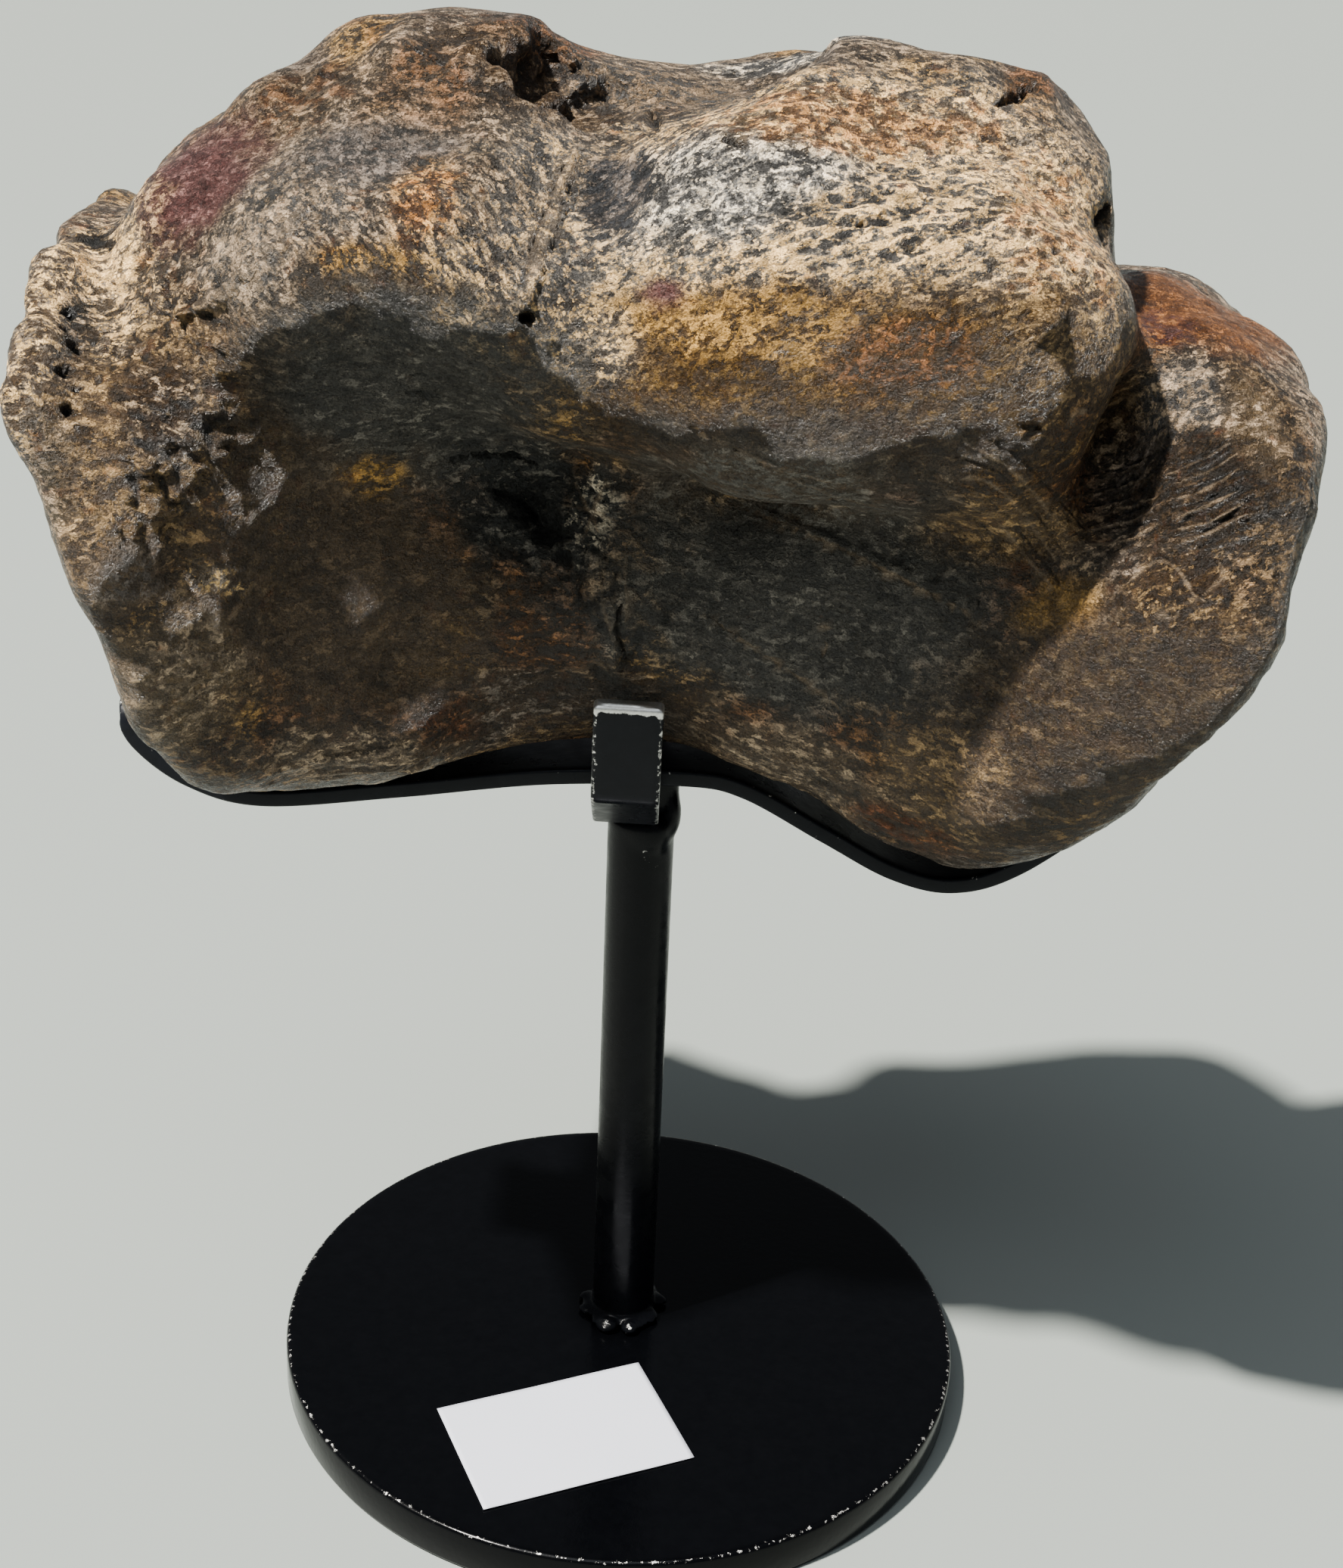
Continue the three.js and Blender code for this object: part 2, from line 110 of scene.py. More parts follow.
# Forms that grow from the spool, then those that are hollowed out of it: what it is, its place,
# half sizes, turn (yaw, tilt, roll in degrees), the width over which it melts in, and the corner
# radius of a pad. A form without a corner radius is an egg.
GROWTHS = [
    ("left shoulder", (-20.9, -4.5, 122.2), (16.3, 22, 12.6), (-10, -4, 26), 6, 11.5),
    ("top of the lobe", (14.7, -7.5, 125.7), (19.8, 17.5, 11), (-4, 10.5, 28), 6, 9.5),
    ("belly of the lobe", (17.6, -13.2, 118.3), (19.4, 14.6, 12), (-4, 6, 0), 6, 10.5),
    ("left edge of the belly", (9, -20, 114), (14, 8, 6.5), (0, 18, 0), 5, None),
    ("slope between them", (-5, -5, 120.5), (14, 17, 10.5), (6, 0, 27), 7, 9),
    ("ridge to the left rim", (-34, 2, 118.5), (15.5, 20, 13.2), (0, -30, 0), 4, None),
    ("back process", (-3, 19, 119), (25, 15, 11), (9, -5, -20), 9, 9),
    ("its upper knob", (13, 15, 123.5), (16, 15, 10), (-12, 8, -10), 8, None),
    ("top ridge", (-4, 5, 122.2), (28, 12, 12.5), (0, 0, 0), 7, 9),
    ("left foot", (-33, -7.5, 80), (11, 7, 4.8), (0, 4, 0), 8, None),
    ("slab of the peak", (-18.6, -1.5, 134.8), (5.6, 6.5, 3.2), (-20, 10, 8), 2.5, 1.6),
    ("corner of the shoulder", (-35.4, -1.5, 132.3), (3, 4.5, 1.6), (0, -35, 0), 2, None),
    ("ridge over the clip", (-4.5, -8.6, 96.5), (2, 4, 7), (0, 4, -14), 6, None),
]
HOLLOWS = [
    ("dished left end", (-62.5, 3, 94), (12, 21, 20), (0, 0, 0), 5, None),
    ("dished right end", (61, 3, 93), (12, 22, 20), (0, 0, 0), 5, None),
    ("under the left shoulder", (-21.5, -40.5, 100.5), (22, 22, 23.5), (0, 6, -13), 6, None),
    ("gap under the lobe's end", (37.3, -22, 112.4), (3.5, 9, 7.3), (0, 20, 0), 2.5, None),
    ("pocket at the waist", (-10, -20, 102), (9, 6.5, 5), (0, 30, 0), 6, None),
    ("under the back process", (2, 38, 101), (26, 20, 11), (0, -6, 0), 8, None),
    ("saddle of matrix", (-0.9, 2, 141.9), (12, 26, 8.2), (0, 3, 0), 3, None),
    ("broken pocket", (-11.9, -2.5, 137.5), (3, 5.2, 3.6), (-24, -16, 0), 0.8, 0.5),
    ("its second step", (-7.9, -1.2, 136.5), (3.2, 5.4, 3.8), (-32, -10, 0), 0.8, 0.5),
    ("groove down the front", (-11, -23.5, 130), (3.5, 14, 4), (-12, 0, 30), 5, None),
    ("notch in the lobe's top", (27, -6, 139.5), (3, 5, 2.2), (30, 20, 10), 1.5, None),
    ("notch in the lobe's end", (36, -13, 128.5), (2.2, 3, 2), (0, 20, 0), 1.5, None),
    ("step in the lobe's end", (35.1, -3, 137.5), (6, 12, 4.2), (0, 42, 0), 2, None),
    ("pits in the left rim", (-48.5, -30, 117.5), (2.2, 4, 5.5), (0, 6, 0), 2, None),
    ("chip in the back rim", (50, 30, 112), (7, 6, 8), (0, 0, 20), 3, None),
    ("break across the back process", (-18, 36, 124), (14, 6, 10), (18, 0, 10), 3, None),
]
WAVES = [
    (0.3, (0.21, 0.09, 0.12), 0.4), (0.3, (-0.1, 0.22, 0.14), 2.1), (0.25, (0.16, -0.19, 0.2), 4.4),
    (0.2, (0.38, 0.21, -0.3), 1.3), (0.2, (-0.33, 0.36, 0.17), 3.2), (0.15, (0.13, 0.4, 0.42), 5.6),
]

# The stand, in mm: its foot, post, cradle and clips, with the lines that the bars are bent along
DISC_RADIUS = 36
DISC_THICK = 4.5
DISC_BEVEL = 0.5
DISC_SIDES = 192
DISC_CENTRE = 0.5
DISC_BAND = 0.6
POST_AT = (0.1, 2.3)
POST_RADIUS = 3.3
POST_FOOT = 4.8
POST_TOP = 65.4
POST_LEAN = -0.81
NECK_RADIUS = 2.2
NECK_TOP = 70.9
BAR_THICK = 1.6
BAR_CORNER = 0.28
CRADLE_WIDE = 12.7
CRADLE_TIP = 2.6
CLIP_WIDE = 6.35
CLIP_TIP = 0.45
CLIP_X = -2.2
LABEL_SIZE = (22.3, 15.2)
LABEL_THICK = 0.2
PAPER_THICK = 0.08
LABEL_CELLS = (46, 32)
LABEL_AT = (-4.9, -18.6)
LABEL_TURN = 24
LABEL_BASE = 4.55
CRADLE_LINE = [
    (-50.2, 76.4), (-48.8, 72.6), (-44, 68.9), (-37, 67.3), (-24, 69.1), (-10, 71.4), (3, 72.1),
    (9, 71.2), (17, 67.0), (24, 63.4), (30, 62.4), (36, 64.9), (44.6, 72.4),
]
CLIP_LINE = [(-2.0, 66.9), (-8.8, 72.2), (-9.9, 73.8), (-12.2, 83.2)]
POST_CELL = 0.4
POST_SPACE = 7
CORNERS = ((1, 1), (-1, 1), (-1, -1), (1, -1))
CORNER_STEPS = 3
FLAT_STEP = 0.5
RINGS_PER_MM = 2.2
TIP_RINGS = 7
WORN_TIP = 1.0

# Lumps of weld at the post's head and foot, and the spots where its paint is rubbed: their places
# from the post's foot, half sizes and, for the spots, how worn they are
HEAD_WELDS = [
    ((0.9, -1.8, 59.4), (1.9, 1.7, 2.0)), ((1.9, 0.3, 63.8), (1.7, 1.8, 2.4)),
    ((2.9, -0.4, 60.8), (1.0, 1.5, 2.2)), ((-1.6, 1.2, 64.6), (1.5, 1.9, 1.6)),
    ((-0.4, -1.6, 62.4), (1.4, 1.3, 1.5)), ((0.6, 2.2, 62.5), (1.8, 1.2, 2.2)),
]
FOOT_WELDS = [((-1.5, -4.2, 0.3), (1.1, 0.9, 0.9)), ((0.9, -4.4, 0.2), (0.9, 0.8, 0.8))]
FOOT_BEADS = 9
FOOT_BEAD_SEED = 4
POST_WORN = [
    ((0.4, -3.2, 57.2), (0.5, 1.5, 1.5), 0.9), ((1.4, -2.9, 56.0), (0.9, 1.2, 0.4), 0.8),
    ((-1.5, -4.6, 0.9), (0.8, 0.8, 0.5), 0.9), ((0.9, -4.7, 0.8), (0.7, 0.7, 0.4), 0.8),
]

# Colours of the bone, as linear red, green and blue
RUST_TINT = (0.66, 0.5, 0.4)
BLACK = (0.006, 0.006, 0.0055)
PITCH = (0.012, 0.008, 0.0045)
CHARCOAL = (0.024, 0.018, 0.0125)
BLUE_BLACK = (0.019, 0.02, 0.022)
DUSK = (0.025, 0.023, 0.0195)
GRAPHITE = (0.031, 0.0295, 0.0275)
STEEL = (0.038, 0.0355, 0.033)
CHOCOLATE = (0.019, 0.0105, 0.0045)
BRONZE = (0.026, 0.013, 0.003)
OLIVE = (0.028, 0.02, 0.009)
RUST = (0.06, 0.024, 0.009)
MAROON = (0.045, 0.0175, 0.0155)
PLUM = (0.145, 0.07, 0.062)
OCHRE = (0.135, 0.076, 0.02)
COPPER = (0.23, 0.092, 0.03)
GOLD = (0.42, 0.23, 0.055)
LOAM = (0.078, 0.051, 0.025)
EARTH = (0.05, 0.032, 0.0175)
UMBER = (0.088, 0.057, 0.031)
FAWN = (0.17, 0.108, 0.052)
TAN = (0.3, 0.19, 0.085)
BUFF = (0.25, 0.17, 0.1)
PALE = (0.36, 0.26, 0.165)
PEACH = (0.72, 0.4, 0.14)
CREAM = (1.0, 0.64, 0.26)
WHITE = (1.0, 0.84, 0.62)
ASH = (0.16, 0.13, 0.108)
FLINT = (0.105, 0.094, 0.078)
SMOKE = (0.08, 0.073, 0.062)

# The stand's paint: its two blacks, and by piece the least and greatest roughness and the tone
PAINT_BLACKS = ((0.0035, 0.004, 0.0055), (0.008, 0.009, 0.012))
BARE_STEELS = ((0.45, 0.44, 0.42), (0.85, 0.84, 0.8))
DISC_PAINT = (0.13, 0.22, 0.12)
POST_PAINT = (0.2, 0.36, 0.35)
BAR_PAINT = (0.24, 0.4, 0.8)
PAPER = (0.42, 0.435, 0.485)

# How worn the paint is: at each ring of the disc's profile from its underside, along the edges of
# the cradle and the clips, and at the first and last tip of each
DISC_WORN = [0, 0, 0.6, 0.6, 0.6, 0.2, 0.2, 0.65, 0.85, 0.6, 0, 0]
CRADLE_WORN = (0.62, (1.3, 0.8))
CLIP_WORN = (0.88, (0.8, 2.2))


def make_camera():
    data = bpy.data.cameras.new("camera")
    data.sensor_width = SENSOR
    data.lens = FOCAL / max(PHOTO) * SENSOR
    data.clip_start = 0.01
    camera = bpy.data.objects.new("camera", data)
    bpy.context.scene.collection.objects.link(camera)
    pitch = Matrix.Rotation(math.radians(90 + CAMERA_PITCH), 4, "X")
    roll = Matrix.Rotation(math.radians(CAMERA_ROLL), 4, "Z")
    camera.matrix_world = Matrix.Translation(Vector(CAMERA_AT * MM)) @ pitch @ roll
    bpy.context.scene.camera = camera
    return camera


camera = make_camera()
bpy.context.view_layer.update()
VIEW_AXES = np.array(camera.matrix_world.to_3x3())
RIGHT, UP, BACK = VIEW_AXES.T


def melt(a, b, width):
    """The lower of two depths, melted together where they differ by less than width."""
    share = np.clip(0.5 + 0.5 * (b - a) / width, 0, 1)
    return b * (1 - share) + a * share - width * share * (1 - share)


def turned(yaw, tilt, roll):
    """The rotation by the three angles, in degrees."""
    turn = Matrix.Rotation(math.radians(yaw), 3, "Z")
    turn = turn @ Matrix.Rotation(math.radians(tilt), 3, "Y")
    return np.array(turn @ Matrix.Rotation(math.radians(roll), 3, "X"))


def depth_in_form(points, at, size, turn, corner):
    """How far outside an egg or a pad the points are, negative inside it."""
    local = (points - np.array(at, float)) @ turned(*turn)
    size = np.array(size, float)
    if corner is None:
        reach = np.linalg.norm(local / size, axis=-1)
        steep = np.linalg.norm(local / size ** 2, axis=-1)
        return reach * (reach - 1) / np.maximum(steep, 1e-9)
    past = np.abs(local) - size + corner
    outside = np.linalg.norm(np.maximum(past, 0), axis=-1)
    return outside + np.minimum(past.max(-1), 0) - corner


def along(table, x):
    """The height at x of a smooth curve through the table's points."""
    places, heights = np.array(table, float).T
    last = len(places) - 1
    before = np.maximum(np.arange(last + 1) - 1, 0)
    after = np.minimum(np.arange(last + 1) + 1, last)
    slopes = (heights[after] - heights[before]) / (places[after] - places[before])
    x = np.clip(x, places[0], places[-1])
    i = np.clip(np.searchsorted(places, x) - 1, 0, last - 1)
    width = places[i + 1] - places[i]
    s = (x - places[i]) / width
    rise = s * s * (3 - 2 * s)
    bend = width * s * (1 - s) * (slopes[i] * (1 - s) - slopes[i + 1] * s)
    return heights[i] * (1 - rise) + heights[i + 1] * rise + bend


def depth_in_spool(points):
    """How far outside the plain spool the points are, negative inside it."""
    x, y, z = points.T
    bottom = along(UNDERSIDE, x)
    middle = (bottom + along(TOPSIDE, x)) / 2
    half_high = middle - bottom
    half_wide = along(HALF_WIDTH, x)
    away = np.minimum(np.abs(x - WAIST_X) / WAIST_REACH, 1) ** 2
    below = SQUARE_WAIST + (SQUARE_ENDS - SQUARE_WAIST) * away
    square = np.where(z < middle, below, SQUARE_ABOVE)
    across = np.abs((y - MIDDLE_Y) / half_wide) ** square
    up = np.abs((z - middle) / half_high) ** square
    depth = ((across + up) ** (1 / square) - 1) * np.minimum(half_wide, half_high)
    ends = [(x - at[0]) * way[0] + (z - at[1]) * way[1] for at, way in END_FACES]
    return -melt(-depth, -np.maximum(*ends), RIM_ROUND)


def depth_in_bone(points):
    """How far outside the bone the points are, negative inside it."""
    depth = depth_in_spool(points)
    for _, at, size, turn, width, corner in GROWTHS:
        depth = melt(depth, depth_in_form(points, at, size, turn, corner), width)
    for _, at, size, turn, width, corner in HOLLOWS:
        depth = -melt(-depth, depth_in_form(points, at, size, turn, corner), width)
    for high, way, start in WAVES:
        depth = depth + high * np.sin(points @ np.array(way) + start)
    return depth


def slope_of(depth, points, reach=0.2):
    """The outward way at each point, as the field's slope."""
    slopes = [
        (depth(points + step) - depth(points - step)) / (2 * reach) for step in np.eye(3) * reach
    ]
    return np.stack(slopes, -1)


def skin(depth, space, cell):
    """Vertices and quads of the surface where depth is zero, one vertex in each cell it crosses."""
    low, high = (np.array(corner, float) for corner in space)
    blocks = np.ceil((high - low) / (cell * COARSE)).astype(int)
    centres = np.stack(np.meshgrid(
        *(low[i] + (np.arange(blocks[i]) + 0.5) * cell * COARSE for i in range(3)), indexing="ij"), -1)
    coarse = depth(centres.reshape(-1, 3)).reshape(blocks)
    fine = coarse
    for axis in range(3):
        fine = np.repeat(fine, COARSE, axis)
    near = np.abs(fine) < NEAR
    places = np.argwhere(near)
    fine = np.where(fine < 0, -NEAR, NEAR)
    fine[near] = depth(low + places * cell)

    counts = fine.shape
    total = np.zeros(counts + (3,))
    crossed = np.zeros(counts, int)
    quads = []
    for axis in range(3):
        step = np.eye(3, dtype=int)[axis]
        here = np.argwhere((fine < 0) != (np.roll(fine, -1, axis) < 0))
        here = here[(here[:, axis] < counts[axis] - 1) & (here > 0).all(1)]
        a = fine[tuple(here.T)]
        b = fine[tuple((here + step).T)]
        crossing = here + step * (a / (a - b))[:, None]
        u, v = np.eye(3, dtype=int)[(axis + 1) % 3], np.eye(3, dtype=int)[(axis + 2) % 3]
        ring = [here, here - u, here - u - v, here - v]
        for cells in ring:
            np.add.at(total, tuple(cells.T), crossing)
            np.add.at(crossed, tuple(cells.T), 1)
        flat = np.stack([np.ravel_multi_index(cells.T, counts) for cells in ring], 1)
        quads.append(np.where((a < 0)[:, None], flat, flat[:, ::-1]))
    quads = np.concatenate(quads)
    used, quads = np.unique(quads, return_inverse=True)
    quads = quads.reshape(-1, 4)
    points = low + total.reshape(-1, 3)[used] / crossed.reshape(-1, 1)[used] * cell
    for _ in range(DRAWN_ON):
        slope = slope_of(depth, points)
        steep = np.maximum((slope ** 2).sum(1), 0.25)
        step = -(depth(points) / steep)[:, None] * slope
        far = np.linalg.norm(step, axis=1, keepdims=True)
        points = points + step * np.minimum(1, cell / 3 / np.maximum(far, 1e-9))
    return points, quads


def hashed(i, j, k, seed):
    """A number from -1 to 1 for each corner of the unit lattice."""
    mixed = (i * 374761393 + j * 668265263 + k * 2147483647 + seed * 1442695041) & 0xFFFFFFFF
    mixed = ((mixed ^ (mixed >> 13)) * 1274126177) & 0xFFFFFFFF
    mixed = ((mixed ^ (mixed >> 16)) * 2654435761) & 0xFFFFFFFF
    return (mixed >> 8).astype(float) / 2 ** 23 - 1


def noise(points, seed):
    """Smooth noise from -1 to 1 with lumps about one unit across."""
    base = np.floor(points)
    part = points - base
    rise = part * part * part * (part * (part * 6 - 15) + 10)
    i, j, k = base.astype(np.int64).T
    value = 0
    for a in (0, 1):
        for b in (0, 1):
            for c in (0, 1):
                share = np.prod(np.where([a, b, c], rise, 1 - rise), axis=1)
                value = value + share * hashed(i + a, j + b, k + c, seed)
    return value


def layers(points, seed, count=4, gain=0.5):
    """Noise with finer layers on top, each half as wide and gain times as high."""
    total = 0
    for n in range(count):
        total = total + gain ** n * noise(points * 2 ** n + 17.3 * n, seed + n)
    return total


def stretched(points, way, lengthwise, spacing):
    """The points' places in lumps of one spacing, made longer along a way."""
    way = np.array(way, float) / np.linalg.norm(way)
    lengths = points @ way
    return (points - lengths[:, None] * way * (1 - 1 / lengthwise)) / spacing


def mesh_object(name, points, faces):
    mesh = bpy.data.meshes.new(name)
    mesh.vertices.add(len(points))
    mesh.vertices.foreach_set("co", (np.asarray(points, float) * MM).ravel())
    sides = faces.shape[1]
    mesh.loops.add(faces.size)
    mesh.loops.foreach_set("vertex_index", faces.ravel())
    mesh.polygons.add(len(faces))
    mesh.polygons.foreach_set("loop_start", np.arange(len(faces)) * sides)
    mesh.update(calc_edges=True)
    mesh.shade_smooth()
    made = bpy.data.objects.new(name, mesh)
    bpy.context.scene.collection.objects.link(made)
    return made


def set_attribute(made, name, values):
    """Values for each vertex: one number or a colour."""
    kind = "FLOAT" if values.ndim == 1 else "FLOAT_VECTOR"
    attribute = made.data.attributes.new(name, kind, "POINT")
    attribute.data.foreach_set("value" if values.ndim == 1 else "vector", values.astype(np.float32).ravel())


class Surface:
    """A node material, made node by node."""

    def __init__(self, name):
        self.material = bpy.data.materials.new(name)
        self.material.use_nodes = True
        self.tree = self.material.node_tree
        self.shader = self.tree.nodes["Principled BSDF"]

    def add(self, kind, inputs=None, **settings):
        node = self.tree.nodes.new("ShaderNode" + kind)
        for key, value in settings.items():
            setattr(node, key, value)
        for key, value in (inputs or {}).items():
            self.feed(node.inputs[key], value)
        return node

    def feed(self, socket, value):
        if isinstance(value, bpy.types.NodeSocket):
            self.tree.links.new(value, socket)
        else:
            socket.default_value = value

    def places(self, stretch=(1, 1, 1), turn=(0, 0, 0)):
        """Object coordinates in mm, turned and then squeezed by stretch."""
        coordinates = self.add("TexCoord").outputs["Object"]
        scale = tuple(s / MM for s in stretch)
        first = self.add("Mapping", {"Vector": coordinates, "Rotation": turn})
        return self.add("Mapping", {"Vector": first.outputs[0], "Scale": scale}).outputs[0]

    def noise(self, places, scale, detail=4, roughness=0.55, distortion=0):
        return self.add("TexNoise", {
            "Vector": places, "Scale": scale, "Detail": detail, "Roughness": roughness,
            "Distortion": distortion,
        }).outputs["Fac"]

    def math(self, operation, a, b=0, c=0):
        return self.add("Math", {0: a, 1: b, 2: c}, operation=operation).outputs[0]

    def span(self, value, low, high, to_low=0, to_high=1):
        return self.add("MapRange", {
            "Value": value, "From Min": low, "From Max": high, "To Min": to_low, "To Max": to_high,
        }, interpolation_type="SMOOTHSTEP").outputs["Result"]

    def blend(self, share, a, b):
        """A number between a and b."""
        return self.add("Mix", {0: share, 2: a, 3: b}, data_type="FLOAT").outputs[0]

    def mix(self, share, a, b, blend="MIX"):
        """A colour between a and b."""
        node = self.add("Mix", data_type="RGBA", blend_type=blend)
        self.feed(node.inputs[0], share)
        for socket, value in ((node.inputs[6], a), (node.inputs[7], b)):
            self.feed(socket, (*value, 1) if isinstance(value, tuple) else value)
        return node.outputs[2]

    def attribute(self, name, output="Fac"):
        return self.add("Attribute", attribute_name=name).outputs[output]

    def bump(self, height, distance, strength=1, normal=None):
        node = self.add("Bump", {"Height": height, "Distance": distance * MM, "Strength": strength})
        if normal is not None:
            self.feed(node.inputs["Normal"], normal)
        self.feed(self.shader.inputs["Normal"], node.outputs[0])

    def tilted(self, colours, amount):
        """The normal, tilted by a random colour, so that each grain glints another way."""
        normal = self.add("NewGeometry").outputs["Normal"]
        off = self.add("VectorMath", {0: colours, 1: (0.5, 0.5, 0.5)}, operation="SUBTRACT").outputs[0]
        bent = self.add("VectorMath", {0: off, 1: (amount,) * 3, 2: normal}, operation="MULTIPLY_ADD")
        return self.add("VectorMath", {0: bent.outputs[0]}, operation="NORMALIZE").outputs[0]

    def finish(self, **values):
        for key, value in values.items():
            socket = self.shader.inputs[key.replace("_", " ").title().replace("Ior", "IOR")]
            self.feed(socket, (*value, 1) if isinstance(value, tuple) else value)
        return self.material


# Patches of colour on the bone: the pixel of the photograph, the half sizes in pixels, across and
# up, the turn in degrees, the dark and the pale colour between which the flecks alternate, the pale
# one's share, and how much of both has turned orange
PATCHES = [
    ("left shoulder", (430, 270), (290, 190), 0, CHARCOAL, PALE, 0.56, 0.25),
    ("its ochre crest", (330, 165), (150, 55), 25, CHARCOAL, BUFF, 0.56, 0.5),
    ("its bright face", (400, 250), (110, 90), -40, STEEL, PALE, 0.55, 0.2),
    ("its grey middle", (500, 200), (120, 60), 0, GRAPHITE, ASH, 0.6, 0.2),
    ("its orange patch", (560, 260), (50, 75), 0, CHARCOAL, PEACH, 0.54, 0.6),
    ("its pale left end", (330, 330), (90, 70), 35, STEEL, PALE, 0.62, 0.1),
    ("its lower cream", (630, 400), (110, 70), -30, CHARCOAL, CREAM, 0.5, 0.15),
    ("gold over its edge", (490, 345), (110, 28), -8, CHARCOAL, GOLD, 0.54, 0.3),
    ("brown under its edge", (500, 384), (105, 26), 0, BRONZE, OCHRE, 0.5, 0.4),
    ("valley", (735, 290), (80, 170), 0, STEEL, PALE, 0.5, 0.1),
    ("lobe", (1090, 240), (390, 190), 8, STEEL, CREAM, 0.6, 0.25),
    ("its white middle", (960, 235), (160, 85), 10, GRAPHITE, WHITE, 0.5, 0.05),
    ("its blue-black patch", (815, 255), (55, 75), 10, BLUE_BLACK, ASH, 0.52, 0.0),
    ("its ochre tops", (1130, 160), (200, 50), 0, LOAM, CREAM, 0.56, 0.6),
    ("its cream network", (1190, 290), (190, 70), 15, STEEL, CREAM, 0.6, 0.2),
    ("its far end", (1400, 320), (90, 200), 0, LOAM, CREAM, 0.6, 0.45),
    ("its belly", (1110, 505), (350, 125), -4, BRONZE, OCHRE, 0.47, 0.15),
    ("brown under the belly", (1130, 585), (280, 45), -4, CHOCOLATE, LOAM, 0.46, 0.2),
    ("belly by the end", (1410, 475), (70, 80), 10, BRONZE, TAN, 0.5, 0.1),
    ("gold on its belly", (990, 425), (210, 48), -4, BRONZE, GOLD, 0.64, 0.1),
    ("copper on its belly", (1190, 470), (90, 50), 0, BRONZE, COPPER, 0.44, 0.1),
    ("plum on its belly", (875, 385), (30, 20), 0, MAROON, PLUM, 0.6, 0.0),
    ("vein under the hole", (688, 470), (14, 44), 14, CHOCOLATE, GOLD, 0.45, 0.9),
    ("cream under the valley", (770, 450), (75, 48), -25, CHARCOAL, CREAM, 0.55, 0.1),
    ("maroon slope", (250, 240), (115, 85), 40, MAROON, PLUM, 0.52, 0.0),
    ("left rim", (100, 450), (120, 230), 0, CHARCOAL, CREAM, 0.52, 0.15),
    ("its crest", (42, 440), (34, 170), 0, EARTH, CREAM, 0.48, 0.1),
    ("its cream dome", (160, 350), (52, 50), 0, LOAM, CREAM, 0.64, 0.2),
    ("its black spot", (125, 315), (19, 16), 0, BLACK, SMOKE, 0.3, 0.0),
    ("its dark pits", (98, 450), (20, 90), 5, BLACK, PALE, 0.44, 0.1),
    ("its olive foot", (75, 620), (48, 100), -20, OLIVE, PALE, 0.52, 0.2),
    ("brown inside the rim", (215, 610), (135, 190), 0, EARTH, TAN, 0.52, 0.25),
    ("its rosy lumps", (220, 540), (50, 60), 0, CHOCOLATE, PALE, 0.42, 0.1),
    ("teal shadow", (165, 765), (60, 45), 0, UMBER, ASH, 0.6, 0.0),
    ("left hollow", (540, 540), (205, 160), 0, DUSK, FLINT, 0.46, 0.1),
    ("its brown floor", (450, 790), (190, 170), 0, EARTH, UMBER, 0.56, 0.2),
    # Painted shade: a darker brown over a spot that the sun reaches past the shoulder.
    ("brown at the edge of shade", (352, 660), (44, 110), 0, EARTH, LOAM, 0.5, 0.3),
    ("its gold patch", (497, 628), (40, 24), 10, EARTH, GOLD, 0.5, 0.2),
    ("cream patch below the rim", (285, 768), (38, 16), -12, UMBER, CREAM, 0.52, 0.2),
    # Painted light: this flank faces down into shade, so its colours are made paler to stand in for soft
    # light on it.
    ("green lower flank", (250, 900), (85, 95), 0, LOAM, PALE, 0.5, 0.2),
    ("deep pocket", (700, 670), (110, 85), -30, BLACK, FLINT, 0.48, 0.0),
    ("white flecks", (785, 675), (36, 55), -20, BLACK, WHITE, 0.5, 0.0),
    ("right hollow", (1080, 790), (300, 190), -15, DUSK, FLINT, 0.5, 0.05),
    ("smoky brown above it", (1010, 640), (190, 34), -8, EARTH, FLINT, 0.6, 0.0),
    ("brown in the right hollow", (1330, 700), (110, 44), 0, EARTH, TAN, 0.48, 0.2),
    # Painted light: a pale gold share stands in for sunlight on this spot of the hollow.
    ("gold in the right hollow", (1397, 803), (60, 36), 20, OCHRE, GOLD, 0.56, 0.2),
    ("lower right flank", (1450, 960), (240, 180), 25, CHOCOLATE, LOAM, 0.48, 0.15),
    ("cream flecks on it", (1240, 1035), (95, 75), -30, EARTH, TAN, 0.46, 0.1),
    ("right rim", (1690, 640), (60, 260), 5, PITCH, FAWN, 0.52, 0.15),
    ("pale flecks on the rim", (1655, 560), (40, 70), 5, LOAM, PALE, 0.5, 0.3),
    ("reddish flare", (1600, 410), (125, 75), -20, RUST, COPPER, 0.52, 0.2),
    ("red on the flare", (1530, 425), (40, 40), 0, MAROON, COPPER, 0.5, 0.4),
    ("grey on the flare", (1560, 530), (60, 55), 0, STEEL, PALE, 0.54, 0.1),
    ("wrinkles on the flare", (1575, 650), (100, 80), 0, PITCH, EARTH, 0.5, 0.3),
    ("cream veins", (1560, 785), (76, 50), 20, CHOCOLATE, TAN, 0.38, 0.1),
    ("tan foot", (470, 1005), (150, 40), 0, EARTH, PALE, 0.54, 0.1),
    ("tan edge", (680, 1000), (130, 22), 5, UMBER, TAN, 0.55, 0.15),
    ("tan edge on the right", (1050, 1020), (130, 50), -25, EARTH, PALE, 0.48, 0.15),
    ("red fibres", (1195, 1100), (70, 22), -25, EARTH, COPPER, 0.48, 0.6),
    ("broken matrix", (690, 105), (115, 60), -20, CHOCOLATE, BUFF, 0.46, 0.1),
    ("matrix in the saddle", (880, 120), (125, 46), -6, STEEL, BUFF, 0.52, 0.1),
    ("dark flake", (1050, 80), (110, 22), -4, GRAPHITE, WHITE, 0.46, 0.0),
]

